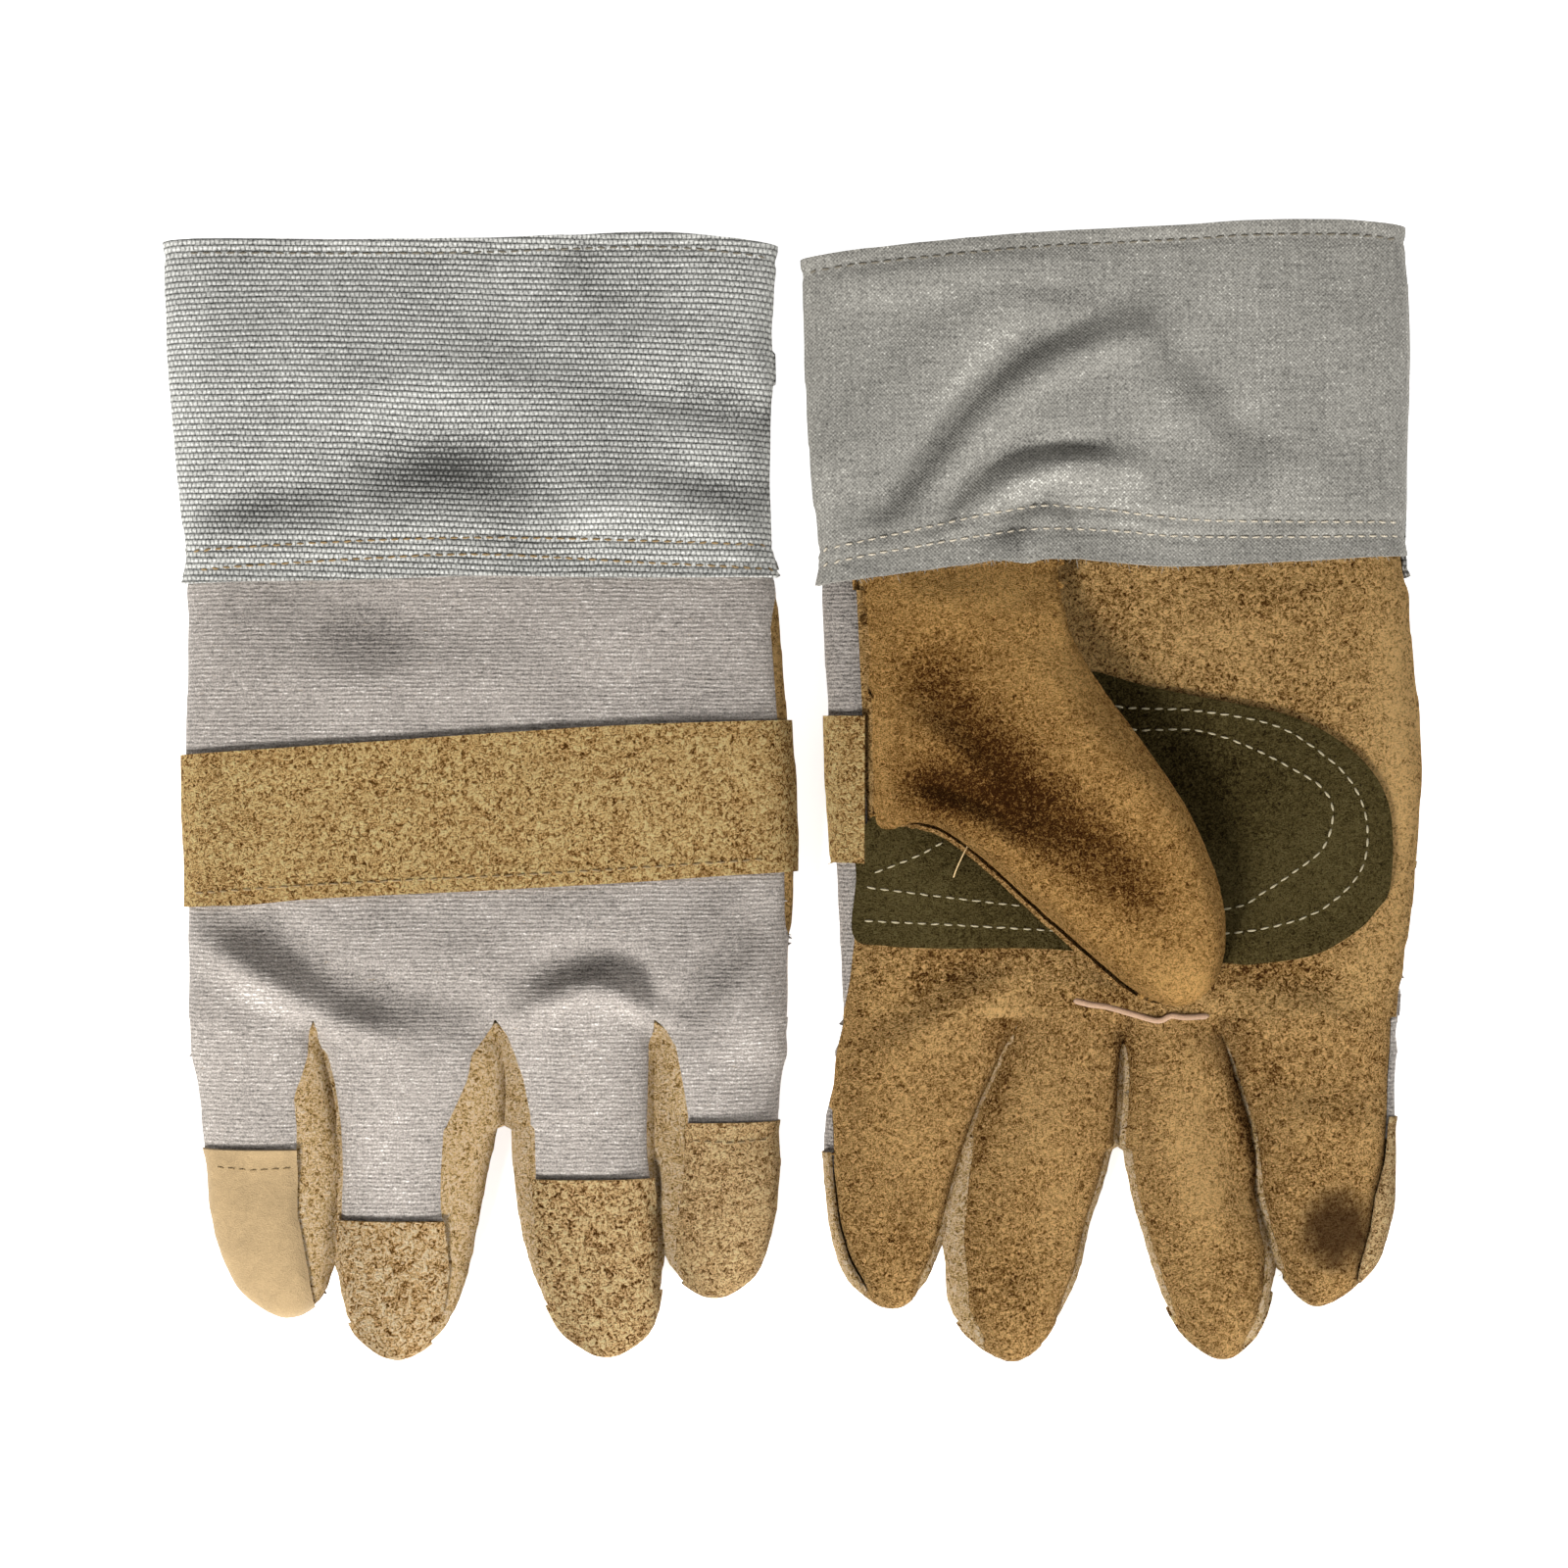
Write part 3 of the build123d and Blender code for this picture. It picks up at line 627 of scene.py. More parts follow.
def cut(pad, outline, side):
    """The part of a pad's back or palm skin that lies over an outline."""
    low, high = (-30, MID) if side == "back" else (MID, 60)
    return keep_inside(pad, prism(outline, low, high))


def pinch(bm, co, depth, reach=1.3):
    """Draws a sheet in along its sewn borders. The knuckle line isn't a seam."""
    rim = [v.co.copy() for v in bm.verts if v.is_boundary and abs(v.co.y) > 0.4]
    if not rim or depth == 0:
        return np.zeros(len(co))
    tree = KDTree(len(rim))
    for i, place in enumerate(rim):
        tree.insert(place, i)
    tree.balance()
    gap = np.array([tree.find(Vector(c))[2] for c in co])
    return -depth * np.exp(-((gap / reach) ** 2))


def sew(name, sheets, offset=0.0, thickness=LEATHER, shape=None, seam=0.0):
    """Joins sheets that share a border, moves them off the skin, and gives them their thickness inwards."""
    bm = bmesh.new()
    for sheet in sheets:
        bm.from_mesh(sheet.data)
        discard(sheet)
    bmesh.ops.remove_doubles(bm, verts=bm.verts, dist=0.05)
    bm.normal_update()
    co = np.array([v.co for v in bm.verts])
    lifts = offset + pinch(bm, co, seam)
    if shape is not None:
        lifts = lifts + shape(co)
    moves = [v.normal * float(lift) for v, lift in zip(bm.verts, lifts)]
    for vert, move in zip(bm.verts, moves):
        vert.co += move
    for face in bm.faces:
        face.material_index = 0
    obj = as_object(name, bm)
    wall = obj.modifiers.new("wall", "SOLIDIFY")
    wall.thickness, wall.offset, wall.use_even_offset = thickness, -1, False
    apply_modifiers(obj)
    return obj


def finish_piece(glove, obj, material, body, nodes=(), toward=None):
    """Lays a piece in the frame, paints it and ties it to its body, or leaves it untied in the frame when
    `toward` is given.
    """
    glove.lay(obj)
    mesh = obj.data
    mesh.set_sharp_from_angle(angle=math.radians(48))
    mesh.materials.clear()
    mesh.materials.append(material)
    if toward is None:
        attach(obj, f"{glove.name}_{body}")
    else:
        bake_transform(obj)
    if nodes:
        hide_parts(*[f"{glove.name}_{n}" for n in nodes])
    glove.parts[obj.name] = obj


# ---------------------------------------------------------------- materials
class Wire:
    """A value or colour that runs from one shader node to another, with arithmetic."""

    def __init__(self, paint, socket):
        self.paint, self.socket = paint, socket

    def __add__(self, other):
        return self.paint.math("ADD", self, other)

    def __radd__(self, other):
        return self.paint.math("ADD", other, self)

    def __sub__(self, other):
        return self.paint.math("SUBTRACT", self, other)

    def __rsub__(self, other):
        return self.paint.math("SUBTRACT", other, self)

    def __mul__(self, other):
        return self.paint.math("MULTIPLY", self, other)

    def __rmul__(self, other):
        return self.paint.math("MULTIPLY", other, self)

    def __truediv__(self, other):
        return self.paint.math("DIVIDE", self, other)

    def __pow__(self, other):
        return self.paint.math("POWER", self, other)


class Paint:
    """The nodes of one material. Its patterns follow the flat glove, in millimetres."""

    def __init__(self, name):
        self.material = bpy.data.materials.new(name)
        self.material.use_nodes = True
        self.tree = self.material.node_tree
        self.tree.nodes.clear()
        place = self.node("Attribute", {"attribute_name": "flat"}, {})
        self.flat = Wire(self, place.outputs["Vector"])
        split = self.node("SeparateXYZ", {}, {0: self.flat})
        self.x, self.y, self.depth = (Wire(self, split.outputs[axis]) for axis in "XYZ")

    def node(self, kind, settings, inputs):
        made = self.tree.nodes.new("ShaderNode" + kind)
        for key, value in settings.items():
            setattr(made, key, value)
        for key, value in inputs.items():
            if isinstance(value, Wire):
                self.tree.links.new(value.socket, made.inputs[key])
            else:
                made.inputs[key].default_value = value
        return made

    def math(self, operation, *values):
        made = self.node("Math", {"operation": operation}, dict(enumerate(values)))
        return Wire(self, made.outputs[0])

    def step(self, value, low, high):
        """0 where value is below low, 1 above high, smooth between."""
        inputs = {"Value": value, "From Min": low, "From Max": high}
        made = self.node("MapRange", {"interpolation_type": "SMOOTHSTEP"}, inputs)
        return Wire(self, made.outputs[0])

    def scaled(self, x, y):
        made = self.node("VectorMath", {"operation": "MULTIPLY"}, {0: self.flat, 1: (x, y, 1.0)})
        return Wire(self, made.outputs[0])

    def cloud(self, scale, detail=3.0, rough=0.55, vector=None, twist=0.0):
        """Noise about 0, mostly between -1 and 1. A scale of 1 gives features of about a millimetre."""
        inputs = {"Vector": vector or self.flat, "Scale": scale, "Detail": detail, "Roughness": rough,
                  "Distortion": twist}
        made = self.node("TexNoise", {}, inputs)
        return (Wire(self, made.outputs[0]) - 0.5) * 4.0

    def mix(self, share, one, two):
        made = self.node("Mix", {"data_type": "RGBA"}, {0: share})
        for index, value in ((6, one), (7, two)):
            if isinstance(value, Wire):
                self.tree.links.new(value.socket, made.inputs[index])
            else:
                made.inputs[index].default_value = (*value, 1)
        return Wire(self, made.outputs[2])

    def tones(self, value, colours):
        """A colour from dark to light as value goes from 0 to 1."""
        made = self.node("ValToRGB", {}, {0: value})
        ramp = made.color_ramp
        while len(ramp.elements) < len(colours):
            ramp.elements.new(0.5)
        for i, colour in enumerate(colours):
            ramp.elements[i].position = i / (len(colours) - 1)
            ramp.elements[i].color = (*colour, 1)
        return Wire(self, made.outputs[0])

    def painted_shading(self, places):
        """Painted highlights (+) and painted shade (-): x, y, half width, half height, turn in degrees,
        amount.
        """
        total = 0.0
        for x, y, across, up, turn, amount in places:
            c, n = math.cos(math.radians(turn)), math.sin(math.radians(turn))
            dx, dy = self.x - x, self.y - y
            u, v = (dx * c + dy * n) / across, (dy * c - dx * n) / up
            total = total + self.math("EXPONENT", (u * u + v * v) * -1.0) * amount
        return total

    def finish(self, colour, height, relief=0.3, roughness=0.95, sheen=0.3, sheen_tint=(1, 0.9, 0.75)):
        """The surface itself. Height is 0 to 1 and stands for relief, in millimetres."""
        bump = self.node("Bump", {}, {"Strength": 1.0, "Distance": relief * MM, "Height": height})
        surface = self.node("BsdfPrincipled", {}, {
            "Base Color": colour,
            "Roughness": roughness, "Sheen Weight": sheen, "Sheen Roughness": 0.5,
            "Sheen Tint": (*sheen_tint, 1), "Specular IOR Level": 0.04,
            "Normal": Wire(self, bump.outputs[0]),
        })
        out = self.node("OutputMaterial", {}, {})
        self.tree.links.new(surface.outputs[0], out.inputs[0])
        return self.material


def shades(colour, dark, light):
    """A colour with a darker and a lighter one on either side."""
    return [tuple(c * dark for c in colour), colour, tuple(min(c * light, 1) for c in colour)]


def hide_tones(colour):
    """Five tones of leather: the dark ones are redder and the light ones paler."""
    r, g, b = colour
    pale, palest = min(r * 1.42, 0.9), min(r * 1.85, 0.95)
    return [
        (r * 0.12, g * 0.075, b * 0.04), (r * 0.47, g * 0.39, b * 0.28), colour,
        (pale, min(g * 1.50, pale * 0.72), min(b * 1.65, pale * 0.42)),
        (palest, min(g * 2.05, palest * 0.80), min(b * 2.4, palest * 0.56)),
    ]


def suede(name, colour, nap=1.0, contrast=1.0, relief=0.4, painted_shading=(), smudge=None):
    """Split leather: a cloudy nap with short fibres lying every way, and painted shade in the crevices
    between them.
    """
    p = Paint(name)
    broad = p.cloud(0.09, 3, 0.5)
    patch = p.cloud(0.40 / nap, 4, 0.6, twist=0.6)
    clump = p.cloud(0.90 / nap, 2, 0.6, twist=1.4)
    fibre = p.cloud(2.1 / nap, 3, 0.75, twist=1.2)
    nap_height = 0.52 * clump + 0.50 * fibre + 0.06 * patch
    # The nap's colour follows its height: its own tone, with painted shade in the low crevices and painted
    # highlights on the raised fibres; the given places add painted highlights and painted shade.
    value = 0.60 + contrast * (0.08 * broad + 0.10 * patch + 1.45 * nap_height) + p.painted_shading(painted_shading)
    tone = p.tones(value, hide_tones(colour))
    if smudge:
        x, y, across, up = smudge
        gap = ((p.x - x) / across) ** 2.0 + ((p.y - y) / up) ** 2.0
        worn = 1.0 - p.step(gap + 0.25 * p.cloud(0.3, 4), 0.15, 1.6)
        tone = p.mix(worn * 0.9, tone, (0.060, 0.026, 0.008))
    return p.finish(tone, 0.5 + nap_height, relief * 6.5, 1.0, 0.0)


def smooth_leather(name, colour):
    """The plainer side of the hide, with faint creases and pores."""
    p = Paint(name)
    crease = p.cloud(0.35, 5, 0.6, twist=1.2)
    pores = p.cloud(3.2, 2, 0.5)
    stain = p.step(p.cloud(0.22, 3), 0.7, 1.5)
    value = 0.5 + 0.16 * p.cloud(0.08) + 0.16 * crease + 0.22 * pores
    tone = p.tones(value, shades(colour, 0.62, 1.35))
    tone = p.mix(stain * 0.5, tone, shades(colour, 0.55, 1)[0])
    return p.finish(tone, 0.5 + 0.3 * crease + 0.3 * pores, 0.16, 0.8, 0.2)


def rib_canvas(name, colour, painted_shading=()):
    """Heathered cloth with fine ribs across the hand and pale flecks in the yarn."""
    p = Paint(name)
    wander = 0.35 * p.cloud(0.07)
    rib = p.math("SINE", (p.y + wander) * (2 * math.pi / 1.0))
    yarn = p.cloud(1.0, 3, 0.6, p.scaled(0.5, 2.2))
    streak = p.cloud(1.0, 3, 0.55, p.scaled(0.07, 0.8))
    speck = p.cloud(2.4, 2, 0.6)
    value = 0.5 + 0.09 * rib + 0.22 * yarn + 0.07 * streak + 0.34 * speck
    # Painted highlights and painted shade from the given places.
    value = value + 0.08 * p.cloud(0.05) + p.painted_shading(painted_shading)
    # Painted shade: the canvas is darker where it turns round to the palm side.
    value = value - 0.16 * p.step(p.depth, MID - 1.0, MID + 3.0)
    tone = p.tones(value, [shades(colour, 0.22, 1)[0], shades(colour, 0.60, 1)[0], colour,
                           shades(colour, 1, 1.42)[2], (0.84, 0.80, 0.75)])
    warm = p.step(p.cloud(0.9, 2, 0.5, p.scaled(0.5, 1.6)), 0.6, 1.5)
    tone = p.mix(warm * 0.3, tone, (0.50, 0.36, 0.22))
    return p.finish(tone, 0.5 + 0.22 * rib + 0.24 * yarn + 0.2 * speck, 0.2, 0.95, 0.05, (1, 1, 1))


def heavy_weave(name, colour, painted_shading=()):
    """Coarse cuff cloth: rows of short raised threads, each row half a thread along from the last."""
    p = Paint(name)
    y = p.y + 0.9 * p.cloud(0.014, 1) + 0.2 * p.cloud(0.05) + 0.018 * p.x
    row = p.math("FLOOR", y / 1.38)
    along_row = (p.x + 0.25 * p.cloud(0.25)) / 1.12 + row * 0.5
    thread = p.math("ABSOLUTE", p.math("SINE", along_row * math.pi))
    ridge = p.math("ABSOLUTE", p.math("SINE", (y / 1.38) * math.pi))
    knot = (thread ** 0.35) * (ridge ** 0.55)
    yarn = p.cloud(1.0, 3, 0.6, p.scaled(0.4, 1.5))
    value = -0.06 + 0.76 * knot + 0.18 * yarn + 0.30 * p.cloud(2.2, 2)
    # Painted shade and painted highlights of the cuff's folds, from the given places.
    value = value + 0.08 * p.cloud(0.045) + p.painted_shading(painted_shading)
    tone = p.tones(value, [shades(colour, 0.20, 1)[0], shades(colour, 0.62, 1)[0], colour,
                           shades(colour, 1, 1.45)[2], (0.86, 0.86, 0.82)])
    pale = p.step(p.cloud(0.35, 2, 0.4, p.scaled(0.6, 1.4)), 0.9, 1.5)
    tone = p.mix(pale * 0.3, tone, (0.60, 0.58, 0.50))
    return p.finish(tone, knot + 0.15 * yarn, 0.32, 0.95, 0.05, (1, 1, 1))


def plain_weave(name, colour, painted_shading=()):
    """Thin cuff cloth: plain weave with slubs that run both ways."""
    p = Paint(name)
    x, y = p.x + 0.3 * p.cloud(0.04), p.y + 0.3 * p.cloud(0.035)
    warp = p.math("SINE", x * (2 * math.pi / 0.92))
    weft = p.math("SINE", y * (2 * math.pi / 0.92))
    up = p.cloud(1.0, 2, 0.5, p.scaled(1.25, 0.06))
    over = p.cloud(1.0, 2, 0.5, p.scaled(0.06, 1.25))
    speck = p.cloud(1.7, 3, 0.6)
    value = 0.5 + 0.14 * warp * weft + 0.07 * up + 0.09 * over + 0.36 * speck
    # Painted shade and painted highlights of the cuff's creases, from the given places.
    value = value + 0.06 * p.cloud(0.05) + p.painted_shading(painted_shading)
    tone = p.tones(value, [shades(colour, 0.25, 1)[0], shades(colour, 0.62, 1)[0], colour,
                           shades(colour, 1, 1.38)[2], (0.80, 0.78, 0.70)])
    slub = p.step(p.cloud(0.5, 2, 0.4, p.scaled(0.5, 1.4)), 1.05, 1.6)
    tone = p.mix(slub * 0.35, tone, (0.58, 0.53, 0.40))
    return p.finish(tone, 0.5 + 0.22 * warp * weft + 0.14 * up + 0.14 * over, 0.2, 0.95, 0.05, (1, 1, 1))


def fleece(name, colour):
    p = Paint(name)
    curl = p.cloud(0.8, 5, 0.75, twist=2.0)
    tone = p.tones(0.5 + 0.3 * curl, shades(colour, 0.6, 1.3))
    return p.finish(tone, 0.5 + 0.4 * curl, 0.6, 1.0, 0.4, (1, 1, 1))


def yarn_paint(name, colour):
    p = Paint(name)
    twist = p.math("SINE", (p.x + p.y) * (2 * math.pi / 0.5))
    tone = p.tones(0.5 + 0.2 * twist + 0.25 * p.cloud(2.0), shades(colour, 0.7, 1.25))
    return p.finish(tone, 0.5 + 0.4 * twist, 0.08, 0.7, 0.2)


SUEDE_FRONT = (0.482, 0.272, 0.092)
SMUDGE = (51.9, -50.0, 8.8, 9.8)        # x, y, half width, half height

# Soft painted highlights (+) and painted shade (-) for folds, hollows, the thumb's shadow and lit edges, in
# the form `Paint` takes them.
FRONT_PAINTED_SHADING = [
    (-27, -3, 3, 6, -20, -0.30), (30, -3, 3, 6, 15, -0.30), (51, -26, 8, 12, 0, -0.12),
    (-50, -2, 8, 3.5, 32, 0.16), (-36, -52, 2.5, 14, 0, -0.14), (-14, -44, 4, 14, 0, 0.10),
    (44, -20, 5, 9, 0, 0.14), (-29, -22, 2.2, 24, -17, -0.26), (30.5, -22, 2.2, 24, 16, -0.26),
    (2.4, -12, 1.8, 9, 0, -0.3), (-57, -5, 9, 5, 30, -0.18), (-45, -7, 9, 3, 40, 0.16),
    (-50, -28, 6, 12, 5, 0.07), (-52, -54, 8, 8, 0, -0.17), (-26, -61, 7, 10, -20, -0.18),
    (-20, -26, 6, 10, -20, 0.13), (2, -12, 3, 8, 0, -0.20), (37, -14, 7, 5, 0, -0.21),
    (28, -4, 7, 3.4, 30, 0.16), (19, -34, 7, 18, 12, 0.34), (28, -58, 7, 7, 0, -0.13),
    (31, -30, 2.6, 12, 15, -0.16), (60, -30, 4, 12, 0, 0.13), (52, -30, 7, 6, 0, 0.10),
    (-11, -3, 7, 4, 0, -0.10),
]
PALM_PAINTED_SHADING = [
    (-24, 1, 8, 2.6, 0, 0.22), (24, 2, 9, 3, 0, 0.16), (58, 12, 6, 6, 0, 0.2), (30, 88, 26, 6, 0, 0.10),
    (-38, 12, 17, 5, 20, -0.30), (38, 11, 14, 4.5, 0, -0.30), (20, 11, 8, 5, 0, -0.21),
    (-52, 6, 8, 5, 30, 0.06), (-6, 4, 14, 2.6, 0, -0.24), (40, 98, 22, 8, 0, -0.06),
    (-2, 98, 8, 9, 0, -0.12), (66, 60, 7, 44, 0, 0.42), (46, 3, 12, 3, 0, 0.12),
    (-28, 3.5, 8, 2.4, 40, 0.18),
]
THUMB_PAINTED_SHADING = [
    (-24, 46, 10, 4.5, -42, -0.30), (-9, 34, 9, 4, -42, -0.22), (16, 9, 8, 6, 0, 0.16),
    (-44, 50, 8, 4, -10, -0.18), (-44, 80, 9, 9, -50, -0.33), (-33, 67, 12, 8, -52, -0.45),
    (-22, 53, 13, 8, -42, -0.53), (-6, 42, 12, 6, -40, -0.40), (4, 30, 10, 6, -55, -0.29),
    (-41, 54, 11, 5.5, -25, -0.61), (-14, 82, 8, 12, 20, 0.17), (12, 12, 9, 8, 0, 0.17),
    (-40, 100, 16, 6, 0, 0.10), (-55, 60, 3, 16, 0, 0.19), (-26, 99, 6, 6, 0, 0.13),
]
CANVAS_PAINTED_SHADING = [
    (-45, 18, 16, 4.5, -30, -0.18), (-20, 6, 14, 4.5, -15, -0.21), (-54, 6, 10, 3.4, -35, 0.16),
    (27, 13, 10, 4, 0, -0.18), (25, 1, 12, 3, 0, 0.11), (56, 13, 12, 4.5, 52, -0.20),
    (-28, 91, 10, 8, 0, -0.17), (-48, 98, 12, 5, 0, -0.09), (30, 97, 18, 4, 0, 0.08),
    (20, 40, 30, 8, 0, -0.06), (-20, -24, 8, 16, 0, 0.08), (62, -8, 5, 10, 0, 0.08),
]
HEAVY_PAINTED_SHADING = [
    (-6, 130, 22, 8, 5, -0.40), (-54, 119, 14, 4.5, 10, -0.26), (56, 145, 16, 3.6, -20, -0.30),
    (58, 124, 12, 4, 0, -0.24), (24, 180, 8, 5, -60, -0.16), (8, 110, 12, 4, 0, -0.16),
    (30, 119, 14, 4, 10, 0.14), (-40, 160, 26, 12, 0, 0.07), (-30, 142, 22, 5, 20, 0.08),
    (40, 165, 20, 6, 0, 0.05), (-68, 150, 4, 26, 0, 0.08),
]
THIN_PAINTED_SHADING = [
    (-12, 169, 15, 2.8, -4, -0.20), (-22, 156, 11, 3.0, 42, -0.22), (-42, 134, 16, 2.8, 54, -0.18),
    (-34, 152, 14, 3, 48, 0.13), (-24, 133, 8, 2.6, 36, -0.24), (-6, 134.5, 10, 2.4, 0, -0.18),
    (4, 120, 10, 6, 0, 0.16), (-20, 125, 13, 2.2, 22, 0.17), (-60, 130, 8, 18, 10, -0.05),
    (26, 140, 4, 14, 40, -0.07), (44, 170, 14, 4, 0, 0.07), (-24, 112, 3, 6, 0, -0.13),
    (14, 146, 3, 14, 30, 0.08), (50, 128, 16, 8, 0, -0.05),
]
OLIVE_PAINTED_SHADING = [
    (-4, 76, 26, 9, -38, -0.34), (18, 50, 15, 18, -60, -0.25), (50, 36, 12, 14, 0, 0.14),
    (-48, 26, 12, 9, 0, 0.23), (20, 18, 12, 4, 0, -0.14), (28, 30, 12, 8, 0, 0.07),
]
PAINTS = {
    "palm": suede("palm_suede", (0.478, 0.272, 0.092), 1.0, 0.9, 0.34, PALM_PAINTED_SHADING),
    "front": suede("finger_suede", SUEDE_FRONT, 0.85, 0.85, 0.3, FRONT_PAINTED_SHADING),
    "smudged": suede("finger_suede_smudged", SUEDE_FRONT, 0.85, 0.9, 0.3, FRONT_PAINTED_SHADING, SMUDGE),
    "thumb": suede("thumb_suede", (0.475, 0.250, 0.072), 0.8, 0.75, 0.28, THUMB_PAINTED_SHADING),
    "strip": suede("side_strip_suede", (0.85, 0.57, 0.24), 0.9, 0.8, 0.3),
    "strap": suede("strap_suede", (0.71, 0.405, 0.148), 1.0, 0.95, 0.42),
    "cap_index": smooth_leather("index_cap_leather", (0.318, 0.224, 0.117)),
    "cap_middle": suede("middle_cap_suede", (0.84, 0.51, 0.205), 1.25, 1.1, 0.5),
    "cap_ring": suede("ring_cap_suede", (0.67, 0.395, 0.165), 1.2, 1.1, 0.48),
    "cap_little": suede("little_cap_suede", (0.62, 0.38, 0.165), 0.95, 0.9, 0.36),
    "olive": suede("olive_suede", (0.088, 0.067, 0.020), 0.75, 0.75, 0.24, OLIVE_PAINTED_SHADING),
    "canvas": rib_canvas("back_canvas", (0.292, 0.262, 0.234), CANVAS_PAINTED_SHADING),
    "cuff_back": heavy_weave("cuff_cloth_heavy", (0.43, 0.426, 0.398), HEAVY_PAINTED_SHADING),
    "cuff_palm": plain_weave("cuff_cloth_thin", (0.252, 0.241, 0.214), THIN_PAINTED_SHADING),
    "fleece": fleece("lining_fleece", (0.30, 0.26, 0.22)),
    "thread": yarn_paint("sewing_thread", (0.37, 0.32, 0.205)),
    "cuff_thread": yarn_paint("cuff_thread", (0.52, 0.46, 0.36)),
    "hem_thread": yarn_paint("hem_thread", (0.17, 0.15, 0.115)),
    "tan_thread": yarn_paint("tan_thread", (0.27, 0.185, 0.09)),
    "loose_thread": yarn_paint("loose_thread", (0.62, 0.44, 0.22)),
    "grey_thread": yarn_paint("grey_thread", (0.42, 0.40, 0.35)),
    "welt": smooth_leather("welt_leather", (0.40, 0.255, 0.165)),
}


# ---------------------------------------------------------------- the leather, canvas and cuff
def steps_between(high, low, pitch):
    return np.linspace(high, low, max(int(abs(high - low) / pitch), 1) + 1)


def strip_outline(left, right, ys):
    """A closed outline between two lines of x over the same values of y."""
    lx, rx = np.broadcast_to(left, ys.shape), np.broadcast_to(right, ys.shape)
    down = list(zip(lx, ys))
    return down + list(zip(rx, ys))[::-1]


def hand_pad(glove):
    def inside(xy):
        return glove.height(xy[:, 0], xy[:, 1])[1]

    def heights(xy):
        rise = glove.height(xy[:, 0], xy[:, 1])[0]
        return MID - rise, MID + rise

    pad = pad_from_grid(f"{glove.name}_pad", (-84, -86), (84, 201), inside, heights)
    crumple(pad, glove)
    return pad


def make_hand(glove, pad):
    ys = steps_between(0, 113, 3)
    low, high = -FAR, FAR
    back_line, palm_line = along(glove.back_seam, ys), along(glove.palm_seam, ys)
    canvas = sew(f"{glove.name}_back_of_hand", [
        cut(pad, strip_outline(low, back_line, ys), "back"),
        cut(pad, strip_outline(low, palm_line, ys), "palm"),
    ], 0, CANVAS, seam=0.5)
    finish_piece(glove, canvas, PAINTS["canvas"], "hand", ["back_panel"])
    leather = sew(f"{glove.name}_palm_of_hand", [
        cut(pad, strip_outline(palm_line, high, ys), "palm"),
        cut(pad, strip_outline(back_line, high, ys), "back"),
    ], 0.15, LEATHER, seam=0.7)
    finish_piece(glove, leather, PAINTS["palm"], "hand", ["palm_panel"])
    ys = steps_between(1, 150, 5)
    lining = sew(f"{glove.name}_lining", [
        cut(pad, strip_outline(low, high, ys), "palm"), cut(pad, strip_outline(low, high, ys), "back"),
    ], -1.9, 0.7)
    finish_piece(glove, lining, PAINTS["fleece"], "hand", ["palm_lining"])
    xs = np.linspace(-FAR, FAR, 60)
    bottom, top = spline(glove.strap[0], 6), spline(glove.strap[1], 6)
    low_y = np.interp(xs, bottom[:, 0], bottom[:, 1])
    high_y = np.interp(xs, top[:, 0], top[:, 1])
    band = list(zip(xs, low_y)) + list(zip(xs, high_y))[::-1]
    end_xs = np.linspace(-FAR, along(glove.palm_seam, 52.0), 12)
    ends = list(zip(end_xs, np.interp(end_xs, bottom[:, 0], bottom[:, 1])))
    ends += list(zip(end_xs, np.interp(end_xs, top[:, 0], top[:, 1])))[::-1]

    def tucked(co):
        """On the palm-up glove the strap's far end is drawn in under the leather's edge."""
        inward = smooth_step(co[:, 0], 40, 60) * (1 - smooth_step(np.abs(co[:, 2] - MID), 1, 5))
        return -2.0 * inward * (1 if glove.palm_up else 0)

    strap = sew(f"{glove.name}_strap", [cut(pad, band, "back"), cut(pad, ends, "palm")], 1.3, 1.2, tucked)
    finish_piece(glove, strap, PAINTS["strap"], "hand", ["knuckle_strap"])
    patch = sew(f"{glove.name}_patch", [cut(pad, spline(PATCH_OUTLINE, 6, True), "palm")], 1.2, 1.1)
    finish_piece(glove, patch, PAINTS["olive"], "hand", ["palm_patch"])


def row_line(glove, side, which):
    return spline(glove.rows[side][which], 8)


def make_cuff(glove, pad):
    mouth = spline(glove.mouth, 6)
    xs = np.linspace(-84, 84, 57)
    top = np.interp(xs, mouth[:, 0], mouth[:, 1])
    for side, node, slot in (("back", "cuff_back", "cuff_twill"), ("palm", "cuff_palm", "cuff_weave")):
        edge = row_line(glove, side, "edge")
        low = np.interp(xs, edge[:, 0], edge[:, 1])
        rows = [row_line(glove, side, "upper"), row_line(glove, side, "lower")]
        hem = np.column_stack([xs, top - 3.4])

        def shape(co, side=side, rows=rows, hem=hem, low=low):
            xy = co[:, :2]
            lift = 0.25 * smooth_step(xy[:, 1] - np.interp(xy[:, 0], xs, top), -4.2, -3.2)
            for line in (*rows, hem):
                lift = lift - 0.55 * np.exp(-((line_distance(xy, line)[0] / 1.1) ** 2))
            if side == "palm":
                wing = smooth_step(xy[:, 0], -70, -63) * (1 - smooth_step(xy[:, 0], -9, 3))
                lift = lift + 2.1 * wing * (1 - smooth_step(xy[:, 1], 109, 122))
            above = xy[:, 1] - np.interp(xy[:, 0], xs, low)
            return lift + 0.35 * (1 - smooth_step(above, 0, 3))

        band = list(zip(xs, low)) + list(zip(xs, top))[::-1]
        cuff = sew(f"{glove.name}_{node}_cloth", [cut(pad, band, side)], 1.25, 1.1, shape)
        finish_piece(glove, cuff, PAINTS[node], "hand", [node])


def strip_range(widths):
    """Where along a finger a side strip is wide enough to be cut, or None."""
    if max(width for _, width in widths) <= 0.05:
        return None
    fine = np.linspace(0, TIP, 951)
    wide = fine[along(widths, fine) > 0.06]
    return float(wide.max()), float(wide.min())


